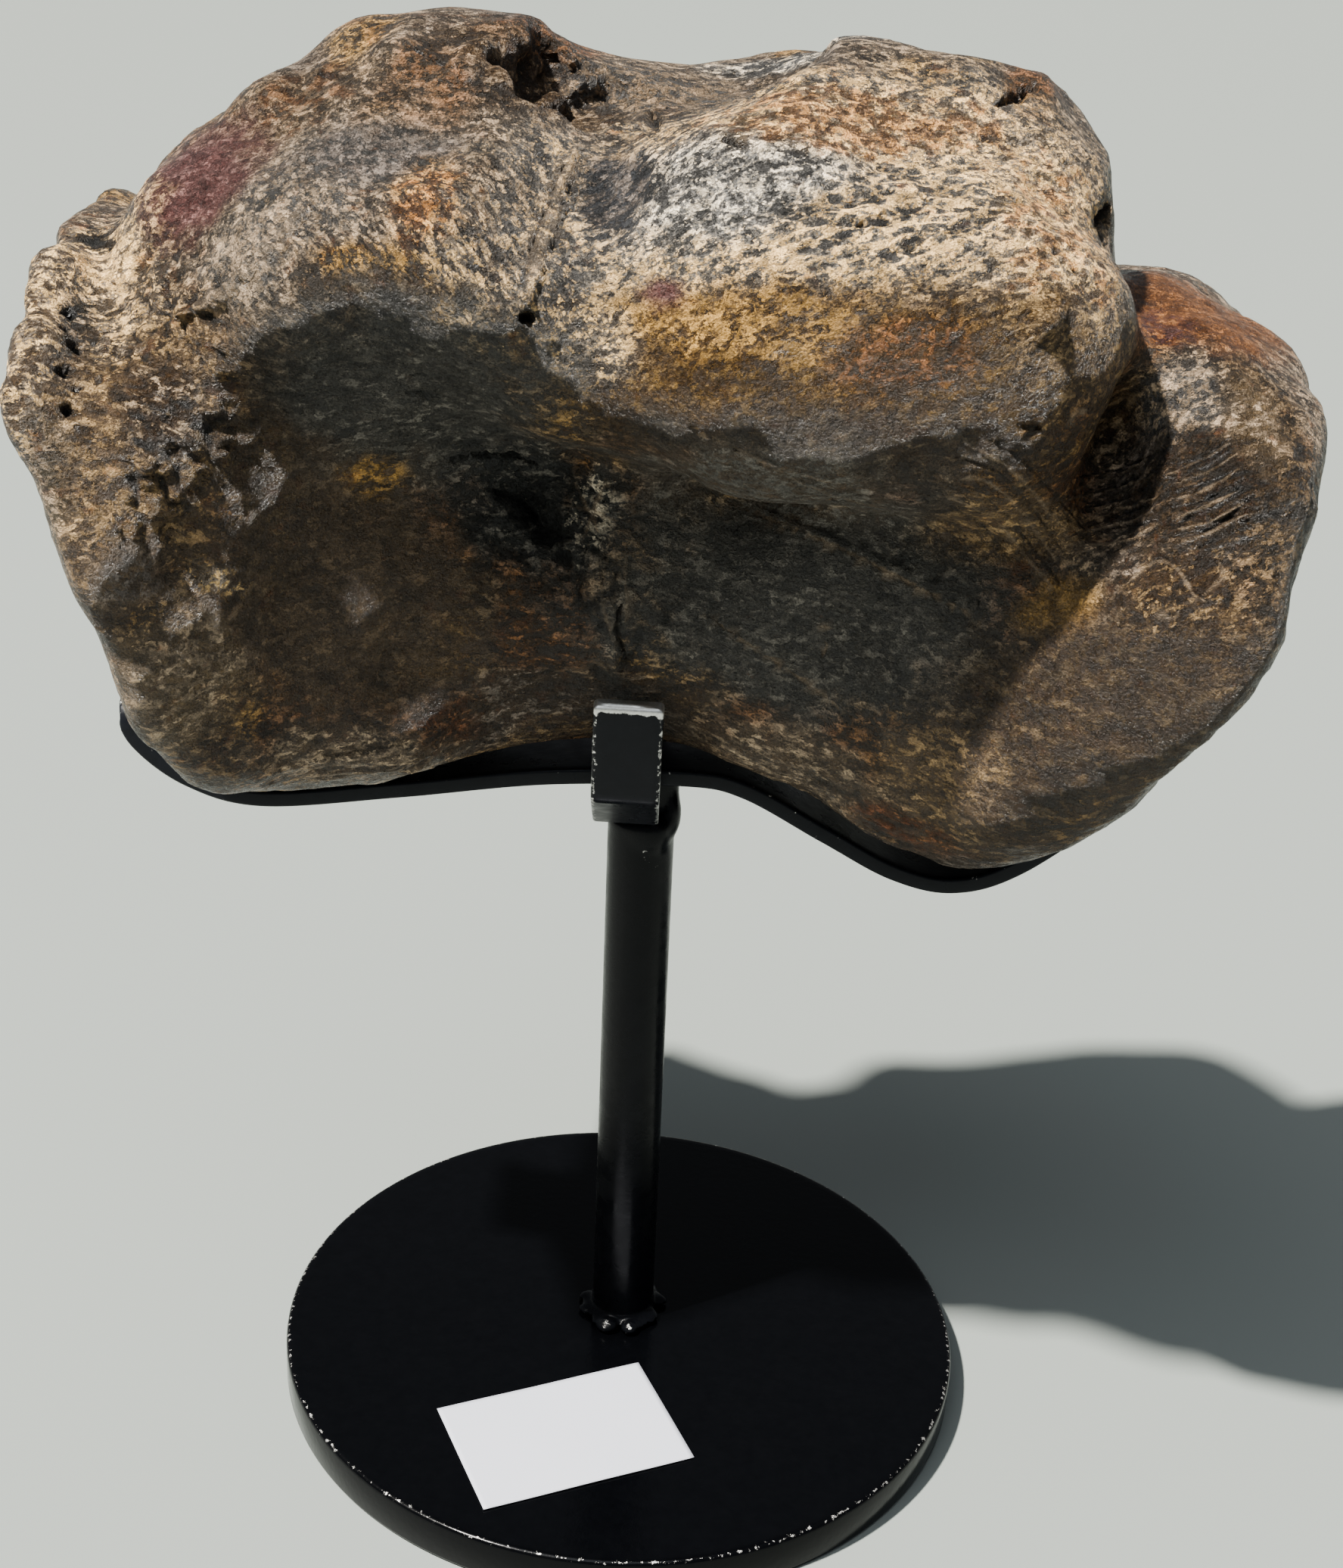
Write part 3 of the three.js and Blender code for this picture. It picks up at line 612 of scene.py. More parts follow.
# Where the flecks run another way than across: towards the lower right on the left shoulder, and
# towards the upper right on the lobe and the right flare
SLANTS = {
    "slant_down": [((520, 280), (260, 200), 0), ((730, 300), (60, 190), 0)],
    "slant_up": [((1150, 260), (420, 220), 0), ((1150, 500), (360, 130), 0), ((1560, 640), (200, 300), 0)],
}

# Where pale strands run between dark cells, and where the left rim is rough
NETWORKS = [((1190, 285), (290, 105), 10), ((1400, 330), (100, 160), 0)]
ROUGH_RIM = ((150, 520), (200, 300), 0)

# The flecks of each slant, and the strands: the way they run in the photograph in degrees, how many
# times longer than wide they are, and how many there are in a mm
FLAT_FLECKS = (-6, 1.7, 1.2)
DOWN_FLECKS = (-52, 2.0, 1.5)
UP_FLECKS = (20, 1.7, 1.35)
STRANDS = (14, 2.2, 0.95)

# How far over their threshold the flecks turn from dark to the middle tone and from it to the pale
# one, and where rust sets in
TO_MIDDLE = (-0.055, -0.01)
TO_PALE = (0.012, 0.058)
RUST_SETS_IN = (0.78, 0.98)

# Where no patch says more: the pale share on the flanks and what tops add to it, the share of rust,
# how much either wanders, and the hues that the pale tone takes by place, with the noise's seed
FLANK_COVER = 0.46
TOP_COVER = 0.06
COVER_WANDERS = 0.06
RUST_SHARE = 0.22
HUES = ((31, GOLD), (34, ASH), (37, COPPER))
HUE_SHARE = 0.8

# Relief by place: its patch, the height in mm, the spacing, how many times longer than wide its
# lumps are, which way they run in the photograph in degrees, and how much they are parted by
# creases: 0 gives soft waves and 1 gives beads with cracks between them. The creases are painted
# dark as well: painted shade.
RELIEF = [
    ("lumps on the left rim", (215, 500), (105, 230), 0, 0.34, 1.1, 1.5, -25, 1.0),
    ("beads on its crest", (50, 420), (50, 220), 0, 0.05, 1.0, 1.0, 0, 0.5),
    ("ribs inside the rim", (250, 690), (120, 190), 0, 0.14, 1.3, 2.4, -14, 0.4),
    ("shoulder", (450, 270), (300, 200), 0, 0.24, 1.5, 2.0, -52, 0.5),
    ("valley", (730, 320), (60, 180), 0, 0.2, 1.2, 6.0, 72, 0.5),
    ("lobe", (1120, 240), (420, 210), 0, 0.24, 1.5, 2.4, 18, 0.5),
    ("belly", (1120, 500), (340, 130), 0, 0.16, 1.4, 2.2, 30, 0.3),
    ("lower flank", (400, 880), (300, 160), 0, 0.12, 1.6, 2.5, -20, 0.4),
    ("wrinkles on the flare", (1560, 640), (140, 100), 0, 0.24, 0.6, 5.0, 22, 0.8),
    ("right rim", (1670, 650), (90, 300), 0, 0.3, 1.8, 1.5, 60, 0.6),
    ("right flank", (1440, 950), (250, 200), 0, 0.2, 1.5, 3.0, 20, 0.5),
    ("striae in the right hollow", (1300, 740), (140, 90), 0, 0.14, 1.0, 6.0, -40, 0.3),
    ("broken matrix", (690, 100), (130, 85), 0, 0.7, 2.2, 1.7, 25, 0.7),
    ("matrix in the saddle", (880, 120), (130, 50), 0, 0.3, 0.9, 1.0, 0, 0.3),
    ("dark flake", (1060, 85), (130, 30), 0, 0.4, 1.2, 4.0, 8, 0.4),
    ("deep pocket", (700, 680), (130, 100), 0, 0.5, 1.3, 2.5, -40, 0.8),
    ("waist", (800, 860), (120, 110), 0, 0.3, 1.3, 2.0, 80, 0.7),
    ("tan foot", (470, 1000), (180, 50), 0, 0.24, 0.9, 5.0, 8, 0.7),
    ("red fibres", (1120, 1085), (180, 40), -25, 0.24, 0.9, 5.0, -25, 0.7),
]

# Lines on the bone, through pixels of the photograph: the half width and depth in mm, and how dark
# the line is. A line that is less than 0 dark is pale. The dark lines lie sunk in cracks: partly
# dark filling, partly painted shade.
STROKES = [
    ("slit in the shoulder", [(414, 92), (435, 98), (455, 97)], 0.22, 0.4, 1),
    ("crack in the saddle", [(861, 138), (866, 158), (858, 180)], 0.32, 0.8, 1),
    ("slit by the saddle", [(950, 184), (972, 190), (993, 191)], 0.25, 0.5, 1),
    ("notch in the lobe", [(1318, 138), (1345, 122), (1369, 104)], 0.5, 1.1, 1),
    ("crack in the lobe's end", [(1446, 300), (1460, 285), (1476, 264)], 0.6, 1.1, 1),
    ("lens", [(1118, 270), (1150, 258), (1184, 246)], 0.5, 0.25, 0.8),
    ("second lens", [(1134, 296), (1180, 282), (1226, 265)], 0.6, 0.3, 0.85),
    ("third lens", [(1160, 338), (1200, 322), (1241, 303)], 0.6, 0.3, 0.8),
    ("fourth lens", [(1248, 308), (1285, 290), (1325, 272)], 0.6, 0.3, 0.75),
    ("fifth lens", [(1040, 330), (1090, 318), (1130, 300)], 0.45, 0.2, 0.7),
    ("edge of the slab", [(548, 62), (580, 76), (604, 92)], 0.3, 0.5, 0.8),
    ("crack down the left rim", [(222, 355), (216, 390), (221, 428)], 0.3, 0.8, 1),
    ("crack over the left hollow", [(592, 613), (630, 605), (672, 606), (710, 616)], 0.36, 0.9, 1),
    ("thin crack", [(528, 521), (560, 526), (592, 528)], 0.18, 0.4, 1),
    ("second thin crack", [(538, 500), (564, 500)], 0.16, 0.3, 1),
    ("seam in the deep pocket", [(652, 648), (690, 668), (716, 700)], 0.4, 0.7, 0.9),
    ("strand of the valley", [(764, 190), (738, 250), (716, 310), (698, 402)], 0.9, -0.4, -0.35),
    ("its left edge", [(750, 206), (724, 270), (702, 330), (688, 388)], 0.16, 0.3, 0.75),
    ("its right edge", [(772, 240), (742, 296), (724, 350), (712, 402)], 0.16, 0.3, 0.7),
    ("crest under the shoulder", [(236, 420), (300, 384), (360, 330), (412, 272)], 0.9, -0.7, -0.25),
    ("seam over the clip", [(822, 800), (817, 840), (825, 868), (820, 893)], 0.3, 0.8, 1),
    ("hole in the vein", [(696, 412), (698, 428)], 0.75, 1.6, 1),
    ("long scratch", [(960, 663), (1130, 735), (1312, 831)], 0.15, 0.2, -0.75),
    ("scratch beside it", [(985, 660), (1150, 730), (1300, 800)], 0.13, 0.16, 0.9),
    ("lower scratch", [(928, 812), (1030, 880), (1135, 957)], 0.13, 0.16, -0.6),
    ("short scratch", [(1071, 675), (1130, 672), (1196, 681)], 0.12, 0.12, -0.6),
    ("curved mark", [(1084, 816), (1093, 850), (1079, 880)], 0.14, 0.12, -0.7),
    ("vein on the flare", [(1486, 772), (1524, 742), (1556, 752), (1582, 790), (1616, 798)], 0.16, 0, -0.6),
    ("its branch up", [(1590, 788), (1618, 760), (1612, 742)], 0.2, 0, -0.55),
    ("its branch down", [(1524, 800), (1543, 818), (1560, 812)], 0.2, 0, -0.55),
    ("needle in the pocket", [(758, 638), (774, 668), (792, 704)], 0.2, 0, -0.7),
    ("second needle", [(803, 630), (786, 672), (768, 716)], 0.2, 0, -0.7),
    ("third needle", [(744, 668), (784, 676), (824, 692)], 0.2, 0, -0.6),
    # Painted highlight: a pale line along the edge where sunlight gives way to shade on the left flank.
    ("pale line at the shade's edge", [(330, 640), (326, 720), (334, 800)], 0.12, 0.1, -0.25),
    ("bright line on the lobe", [(1132, 76), (1168, 104), (1220, 108)], 0.25, 0, -0.5),
    ("smear under the belly", [(1415, 552), (1440, 545)], 0.3, 0, -0.6),
    ("spot under the belly", [(1352, 567), (1380, 569)], 0.3, 0.4, 1),
]

# How much of its hue the tone between a patch's dark and pale ones loses where the patch is pale
MIDDLE_GREYED = 0.5

# Pits in the bone, and knobs that stand out of it: the pixel, the radius and the depth or height
# in mm. Each pit is painted black too: painted shade in the hole, partly dark filling.
PITS = [
    ((92, 412), 0.6, 0.8), ((84, 440), 0.5, 0.7), ((100, 462), 0.7, 0.9), ((86, 490), 0.5, 0.8),
    ((104, 512), 0.5, 0.7), ((90, 540), 0.6, 0.9), ((108, 566), 0.5, 0.6), ((122, 448), 0.4, 0.6),
    ((130, 500), 0.45, 0.6), ((150, 470), 0.4, 0.5), ((118, 312), 1.1, 0.5), ((142, 322), 0.7, 0.5),
    ((1458, 320), 0.4, 0.5), ((1300, 180), 0.35, 0.4), ((1385, 250), 0.4, 0.5), ((1410, 215), 0.3, 0.4),
    ((700, 672), 1.8, 1.0), ((724, 704), 1.6, 1.0), ((746, 736), 1.0, 0.7),
    ((1318, 300), 0.35, 0.4), ((1345, 262), 0.3, 0.4), ((1372, 288), 0.4, 0.5), ((1396, 332), 0.3, 0.4),
    ((1422, 356), 0.4, 0.4), ((1352, 345), 0.3, 0.3), ((1310, 354), 0.35, 0.4), ((1440, 264), 0.3, 0.3),
    ((1272, 226), 0.35, 0.4), ((1226, 258), 0.4, 0.4), ((1328, 208), 0.3, 0.3), ((1240, 196), 0.3, 0.3),
    ((1340, 470), 0.4, 0.4), ((1265, 452), 0.5, 0.4), ((1180, 520), 0.4, 0.4), ((1040, 545), 0.4, 0.4),
]
KNOBS = [
    ((1386, 424), 1.5, 0.9), ((158, 352), 2.8, 0.8), ((1300, 395), 1.2, 0.4), ((560, 250), 1.6, 0.4),
    ((80, 342), 3.6, 1.2), ((44, 452), 3.6, 1.4),
]

# Sheaves of lines, each one beside the last: the first line's pixels, the step to the next line in
# pixels, how many there are, their half width and depth in mm, and the two tones that take turns.
# The pixels of each line go astray a little. The dark lines are sunk as grooves and the pale ones
# raised as ridges, so the tones are partly painted shade and painted highlights on the relief.
SOFT = (0.5, -0.4)
DEEP = (0.8, -0.55)
SHEAVES = [
    ("striae in the right hollow", [(1226, 668), (1300, 700), (1384, 800)], (9, -15), 7, 0.13, 0.14, DEEP),
    ("strands beside the valley", [(640, 230), (668, 280), (690, 340)], (-13, 9), 6, 0.15, 0.15, SOFT),
    ("wrinkles on the flare", [(1526, 620), (1572, 606), (1622, 578)], (3, 9), 13, 0.12, 0.15, DEEP),
    ("wrinkles in its shade", [(1420, 630), (1470, 620), (1512, 602)], (2, 10), 10, 0.13, 0.2, DEEP),
    ("grain over the clip", [(772, 720), (768, 780), (776, 850)], (11, 3), 6, 0.14, 0.15, SOFT),
    ("fibres of the left foot", [(400, 1010), (470, 1000), (560, 985)], (6, 9), 4, 0.15, 0.15, SOFT),
    ("fibres of the right foot", [(1000, 1020), (1090, 1060), (1180, 1110)], (6, 12), 4, 0.16, 0.15, SOFT),
    ("grain under the belly", [(900, 560), (1000, 610), (1120, 640)], (30, 16), 5, 0.12, 0.1, SOFT),
]
SHEAF_SEED = 8
JITTER = 3.5

# Relief all over the bone in mm: the wide lumps' height and width, the small ones' height on the
# flanks, what tops add to it and their width, and how deep all relief is sunk
LUMPS = (0.22, 7)
BUMPS = (0.07, 0.06, 1.9)
SUNK = 0.2

# How far inside the CAD model's box the relief starts to be drawn in, in mm
TUCK = 0.7

# Patches of the bone that are meshed finer, and how far from a line it is meshed finer still, with
# the cuts across each edge
FINE_PATCHES = [
    ((160, 480), (150, 240), 0), ((1560, 630), (150, 150), 0), ((690, 110), (130, 85), 0),
    ((1200, 280), (290, 160), 0), ((700, 680), (120, 90), 0),
]
PATCH_CUTS = 1
LINE_REACH = 0.45
LINE_CUTS = 2


def hit(pixel):
    """Where the ray through a pixel of the photograph meets the bone, in mm."""
    across = (pixel[0] - PHOTO[0] / 2) / FOCAL
    up = (PHOTO[1] / 2 - pixel[1]) / FOCAL
    way = Vector(RIGHT * across + UP * up - BACK)
    found = bone_tree.ray_cast(Vector(CAMERA_AT * MM), way)[0]
    if found is None:
        return None
    return np.array(found) / MM


def mm_per_pixel(place):
    """How many mm a pixel of the photograph spans at a place."""
    return -((place - CAMERA_AT) @ BACK) / FOCAL


def ragged(points):
    """How far the edges of patches wander, as a share of their size."""
    return 0.2 * layers(points / 6, 40, 3) + 0.16 * layers(points / 1.4, 60, 2)


def patch_share(points, edges, at, size, turn, soft=0.4):
    """How much of a patch reaches each point, from 0 to 1."""
    centre = hit(at)
    if centre is None:
        return np.zeros(len(points))
    scale = mm_per_pixel(centre)
    local = (points - centre) @ VIEW_AXES
    sizes = np.array([size[0] * scale, size[1] * scale, max(size) * scale * 1.6])
    c, s = math.cos(math.radians(turn)), math.sin(math.radians(turn))
    x = local[:, 0] * c + local[:, 1] * s
    y = local[:, 1] * c - local[:, 0] * s
    reach = np.linalg.norm(np.stack([x, y, local[:, 2]], 1) / sizes, axis=1)
    return 1 - smooth(reach + edges, 1 - soft, 1 + soft)


def smooth(value, low, high):
    s = np.clip((value - low) / (high - low), 0, 1)
    return s * s * (3 - 2 * s)


def image_way(angle):
    """The way in space that runs at an angle to the right in the photograph."""
    turn = math.radians(angle)
    return RIGHT * math.cos(turn) + UP * math.sin(turn)


def traced(pixels, step=6):
    """Places on the bone along a line of pixels, a few pixels apart."""
    line, _ = spline([(x, y) for x, y in pixels], max(2, int(np.ptp(pixels, axis=0).max() / step)))
    places = [hit(pixel) for pixel in line]
    return np.array([place for place in places if place is not None])


def off_line(points, line):
    """The distance of each point from a line, and how far along the line it is, from 0 to 1."""
    near, along_it = np.full(len(points), 99.0), np.zeros(len(points))
    close = ((points > line.min(0) - 2) & (points < line.max(0) + 2)).all(1)
    for n, (a, b) in enumerate(zip(line[:-1], line[1:])):
        part = np.clip((points[close] - a) @ (b - a) / max((b - a) @ (b - a), 1e-9), 0, 1)
        far = np.linalg.norm(points[close] - a - part[:, None] * (b - a), axis=1)
        better = far < near[close]
        places = np.flatnonzero(close)[better]
        near[places] = far[better]
        along_it[places] = (n + part[better]) / (len(line) - 1)
    return near, along_it


def strokes():
    """Every line on the bone: its places, half width, depth and darkness."""
    for _, pixels, wide, deep, dark in STROKES:
        yield traced(pixels), wide, deep, dark
    draws = np.random.default_rng(SHEAF_SEED)
    for _, pixels, step, count, wide, deep, tones in SHEAVES:
        for n in range(count):
            astray = draws.normal(0, JITTER, (len(pixels), 2))
            tone = tones[n % 2]
            line = np.array(pixels) + np.array(step) * n + astray
            # Dark lines sink and pale ones rise: painted shade in the grooves, painted highlights on the
            # ridges.
            yield traced(line), wide, deep if tone > 0 else -deep / 2, tone


def lift(points, ways, edges, lines):
    """The height of the relief at each point in mm, and how dark and how pale its lines are."""
    top = smooth(ways[:, 2], 0.0, 0.6)
    high, wide = LUMPS
    height = high * layers(points / wide, 1, 3)
    high, more_on_top, wide = BUMPS
    height = height + (high + more_on_top * top) * layers(points / wide, 5, 3)
    black, pale = np.zeros(len(points)), np.zeros(len(points))
    for n, (_, at, size, turn, high, spacing, lengthwise, angle, creased) in enumerate(RELIEF):
        share = patch_share(points, edges, at, size, turn)
        reached = share > 0
        places = stretched(points[reached], image_way(angle), lengthwise, spacing)
        waves = layers(places, 70 + 5 * n, 3, 0.6)
        beads = 1.6 * np.abs(noise(places, 170 + 5 * n)) - 0.4 + 0.25 * waves
        height[reached] += share[reached] * high * (waves + (beads - waves) * creased)
        # The creases between beads are painted dark too: painted shade.
        crease = 1 - smooth(beads, -0.42, -0.05)
        black[reached] = np.maximum(black[reached], share[reached] * crease * creased)
    rough = layers(points / 0.8, 90, 3)
    for line, wide, deep, dark in lines:
        far, along_it = off_line(points, line)
        wide = wide * (1.15 - np.abs(2 * along_it - 1) ** 3) * (1 + 0.5 * rough)
        share = 1 - smooth(far / np.maximum(wide, 0.02), 0.35, 1.25)
        height -= deep * share
        # A dark line darkens its groove: partly dark filling, partly painted shade.
        tone = black if dark > 0 else pale
        np.maximum(tone, abs(dark) * share * (0.75 + 0.5 * rough), out=tone)
    # Pits are painted black: painted shade, partly dark filling.
    for pixel, radius, deep in PITS:
        share = 1 - smooth(np.linalg.norm(points - hit(pixel), axis=1) / radius + 0.3 * rough, 0.3, 1.2)
        height -= deep * share
        black = np.maximum(black, share)
    for pixel, radius, high in KNOBS:
        far = np.linalg.norm(points - hit(pixel), axis=1)
        height += high * (1 - smooth(far / radius, 0.2, 1.3))
    return height - SUNK, np.clip(black, 0, 1), np.clip(pale, 0, 1)


def cut_finer(made, picked, cuts):
    """Cuts the faces between picked vertices into smaller ones."""
    shape = bmesh.new()
    shape.from_mesh(made.data)
    edges = [edge for edge in shape.edges if all(picked[vert.index] for vert in edge.verts)]
    bmesh.ops.subdivide_edges(shape, edges=edges, cuts=cuts, use_grid_fill=True)
    shape.to_mesh(made.data)
    shape.free()


def mesh_points(made):
    points = np.empty(len(made.data.vertices) * 3)
    made.data.vertices.foreach_get("co", points)
    return points.reshape(-1, 3) / MM


def tucked_in(points):
    """Places that are drawn in softly, so that none stands out of the CAD model's box."""
    low, high = (np.array(corner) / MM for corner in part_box("vertebra"))
    for edge, side in ((low, -1), (high, 1)):
        past = side * (points - edge) + TUCK
        points = np.where(past > 0, edge - side * TUCK * np.exp(-np.maximum(past, 0) / TUCK), points)
    return points


def make_bone():
    """The bone's mesh with its relief, and how dark and how pale the lines on it are."""
    points, quads = bone_skin
    made = mesh_object("bone", points, quads)
    lines = [line for line in strokes() if len(line[0]) > 1]
    edges = ragged(points)
    picked = np.max([patch_share(points, edges, *patch) for patch in FINE_PATCHES], axis=0) > 0.3
    cut_finer(made, picked, PATCH_CUTS)
    points = mesh_points(made)
    near = [off_line(points, line)[0] < wide + LINE_REACH for line, wide, _, _ in lines]
    cut_finer(made, np.any(near, axis=0), LINE_CUTS)
    points = mesh_points(made)
    slopes = slope_of(depth_in_bone, points)
    ways = slopes / np.linalg.norm(slopes, axis=1, keepdims=True)
    edges = ragged(points)
    height, black, pale = lift(points, ways, edges, lines)
    made.data.vertices.foreach_set("co", (tucked_in(points + ways * height[:, None]) * MM).ravel())
    made.data.update()
    made.data.shade_smooth()
    set_attribute(made, "black", black)
    set_attribute(made, "pale", pale)
    paint_bone(made, points, ways, edges)
    return made


def paint_bone(made, points, ways, edges):
    """Writes the colours between which the flecks alternate, and how they are shared out."""
    top = smooth(ways[:, 2], -0.2, 0.7)[:, None]
    dark = np.array(CHOCOLATE) * (1 - top) + np.array(CHARCOAL) * top
    light = np.array(FAWN) * (1 - top) + np.array(PALE) * top
    for seed, colour in HUES:
        share = HUE_SHARE * smooth(layers(points / 10, seed, 3), 0.1, 0.6)[:, None]
        light = light + (np.array(colour) - light) * share
    cover = FLANK_COVER + TOP_COVER * top[:, 0] + COVER_WANDERS * layers(points / 9, 30)
    rust = RUST_SHARE + RUST_SHARE * layers(points / 11, 50, 3)
    for _, at, size, turn, patch_dark, patch_light, patch_cover, patch_rust in PATCHES:
        share = patch_share(points, edges, at, size, turn)
        cover = cover + (patch_cover - cover) * share
        rust = rust + (patch_rust - rust) * share
        share = share[:, None]
        dark = dark + (np.array(patch_dark) - dark) * share
        light = light + (np.array(patch_light) - light) * share
    for name, patches in SLANTS.items():
        share = np.max([patch_share(points, edges, *patch) for patch in patches], axis=0)
        set_attribute(made, name, share)
    set_attribute(made, "net", np.max([patch_share(points, edges, *patch) for patch in NETWORKS], axis=0))
    # Upward faces get a higher rough share, which scales the bump and also the painted glints.
    worn = smooth(ways[:, 2], -0.35, 0.4)
    rim = patch_share(points, edges, *ROUGH_RIM)
    set_attribute(made, "rough", 0.45 + 0.55 * np.maximum(worn, rim))
    set_attribute(made, "dark", dark)
    middle = np.sqrt(dark * light)
    greyed = MIDDLE_GREYED * smooth(light.mean(1), 0.15, 0.45)
    set_attribute(made, "middle", middle + greyed[:, None] * (middle.mean(1)[:, None] - middle))
    set_attribute(made, "light", light)
    set_attribute(made, "cover", cover)
    set_attribute(made, "rust", rust)


def slanted(surface, angle, lengthwise):
    """Places in mm, squeezed along a way that runs at an angle in the photograph."""
    axes = Matrix(VIEW_AXES.tolist()).transposed()
    turn = Matrix.Rotation(math.radians(-angle), 3, "Z") @ axes
    return surface.places((1 / lengthwise, 1, 1), turn.to_euler())


def swirled(surface, angle, lengthwise, scale):
    """Squeezed places, as they are and bent into swirls."""
    places = slanted(surface, angle, lengthwise)
    swirl = surface.add("TexNoise", {"Vector": places, "Scale": 1.6 * scale, "Detail": 3}).outputs["Color"]
    bent = surface.add("VectorMath", {0: swirl, 1: (1.1, 1.1, 1.1), 2: places}, operation="MULTIPLY_ADD")
    return places, bent.outputs[0]


def flecks(surface, angle, lengthwise, scale):
    """Flecks that run at an angle in the photograph: their strength, and a random colour each."""
    places, bent = swirled(surface, angle, lengthwise, scale)
    cells = surface.add("TexVoronoi", {"Vector": bent, "Scale": 1.3 * scale})
    own = surface.add("SeparateColor", {0: cells.outputs["Color"]}).outputs[0]
    strength = surface.noise(places, scale, 5, 0.64, 0.6)
    return surface.math("MULTIPLY_ADD", own, 0.2, surface.math("SUBTRACT", strength, 0.1)), cells


def strands(surface, angle, lengthwise, scale):
    """The strength of pale strands that wind between dark cells."""
    _, bent = swirled(surface, angle, lengthwise, scale)
    edge = surface.add("TexVoronoi", {"Vector": bent, "Scale": scale}, feature="DISTANCE_TO_EDGE")
    return surface.span(edge.outputs["Distance"], 0.02, 0.24, 0.64, 0.38)


def bone_surface():
    """Dark, middle and pale flecks, turned orange here and there, with dark pits, pale lines and painted
    glints.
    """
    surface = Surface("fossil bone")
    places = surface.places()
    flat, flat_cells = flecks(surface, *FLAT_FLECKS)
    down, down_cells = flecks(surface, *DOWN_FLECKS)
    up, up_cells = flecks(surface, *UP_FLECKS)
    strength = surface.blend(surface.attribute("slant_down"), flat, down)
    strength = surface.blend(surface.attribute("slant_up"), strength, up)
    own = surface.mix(surface.attribute("slant_down"), flat_cells.outputs[1], down_cells.outputs[1])
    own = surface.mix(surface.attribute("slant_up"), own, up_cells.outputs[1])
    own = surface.add("SeparateColor", {0: own}).outputs
    fine = surface.noise(places, 3.4, 4, 0.7, 0.4)
    black = surface.attribute("black")
    pale = surface.attribute("pale")
    net = surface.math("MULTIPLY", surface.attribute("net"), 0.6)
    strength = surface.blend(net, strength, strands(surface, *STRANDS))
    strength = surface.blend(0.34, strength, fine)
    strength = surface.math("MULTIPLY_ADD", black, -0.1, strength)
    threshold = surface.math("MULTIPLY_ADD", surface.attribute("cover"), -0.34, 0.67)
    over = surface.math("SUBTRACT", strength, threshold)
    low_share = surface.span(over, *TO_MIDDLE)
    share = surface.span(over, *TO_PALE)
    rusty = surface.noise(places, 0.55, 5, 0.65)
    rusty = surface.math("MULTIPLY_ADD", surface.attribute("rust"), 0.6, rusty)
    rusty = surface.math("MULTIPLY_ADD", own[1], 0.16, rusty)
    rust = surface.span(rusty, *RUST_SETS_IN)
    light = surface.mix(rust, surface.attribute("light", "Color"), RUST_TINT, "MULTIPLY")
    light = surface.mix(1.0, light, surface.span(own[2], 0, 1, 0.5, 1.25), "MULTIPLY")
    middle = surface.mix(rust, surface.attribute("middle", "Color"), RUST_TINT, "MULTIPLY")
    middle = surface.mix(1.0, middle, surface.span(own[1], 0, 1, 0.75, 1.3), "MULTIPLY")
    dark = surface.mix(surface.math("MULTIPLY", rust, 0.6), surface.attribute("dark", "Color"), RUST)
    dark = surface.mix(1.0, dark, surface.span(own[2], 0, 1, 0.7, 1.6), "MULTIPLY")
    colour = surface.mix(share, surface.mix(low_share, dark, middle), light)
    grains = surface.noise(places, 5.5, 3, 0.6)
    colour = surface.mix(1.0, colour, surface.span(grains, 0.3, 0.7, 0.6, 1.35), "MULTIPLY")
    shade = surface.span(surface.noise(places, 0.35, 3), 0.3, 0.7, 0.75, 1.2)
    colour = surface.mix(1.0, colour, shade, "MULTIPLY")
    # Pale lines: scratches in the bone's own colour, and painted highlights on the sheaves' ridges and at
    # the edge of the shade on the left.
    colour = surface.mix(surface.math("MULTIPLY", pale, 0.75), colour, PALE)
    # Painted shade, partly dark filling: creases, cracks and pits turn black.
    colour = surface.mix(surface.math("MULTIPLY", black, 0.85), colour, BLACK)
    # Painted glints: a few random grains turn to the pale colour, most on upward faces and the rim.
    sparks = surface.add("TexVoronoi", {"Vector": places, "Scale": 3.4}).outputs["Color"]
    spark = surface.add("SeparateColor", {0: sparks}).outputs[0]
    painted_glint = surface.math("MULTIPLY", surface.span(spark, 0.9, 0.93), surface.attribute("rough"))
    colour = surface.mix(surface.math("MULTIPLY", painted_glint, low_share), colour, light)
    roughness = surface.span(surface.math("MULTIPLY_ADD", fine, 0.5, spark), 0.3, 1.1, 0.47, 0.25)
    height = surface.math("MULTIPLY_ADD", surface.blend(0.5, low_share, share), 0.9, grains)
    height = surface.math("MULTIPLY_ADD", fine, 1.3, height)
    height = surface.math("MULTIPLY_ADD", own[0], 0.35, height)
    height = surface.math("MULTIPLY", height, surface.attribute("rough"))
    surface.bump(height, 0.4, 1.0, surface.tilted(sparks, 0.3))
    return surface.finish(base_color=colour, roughness=roughness, specular_ior_level=0.28)


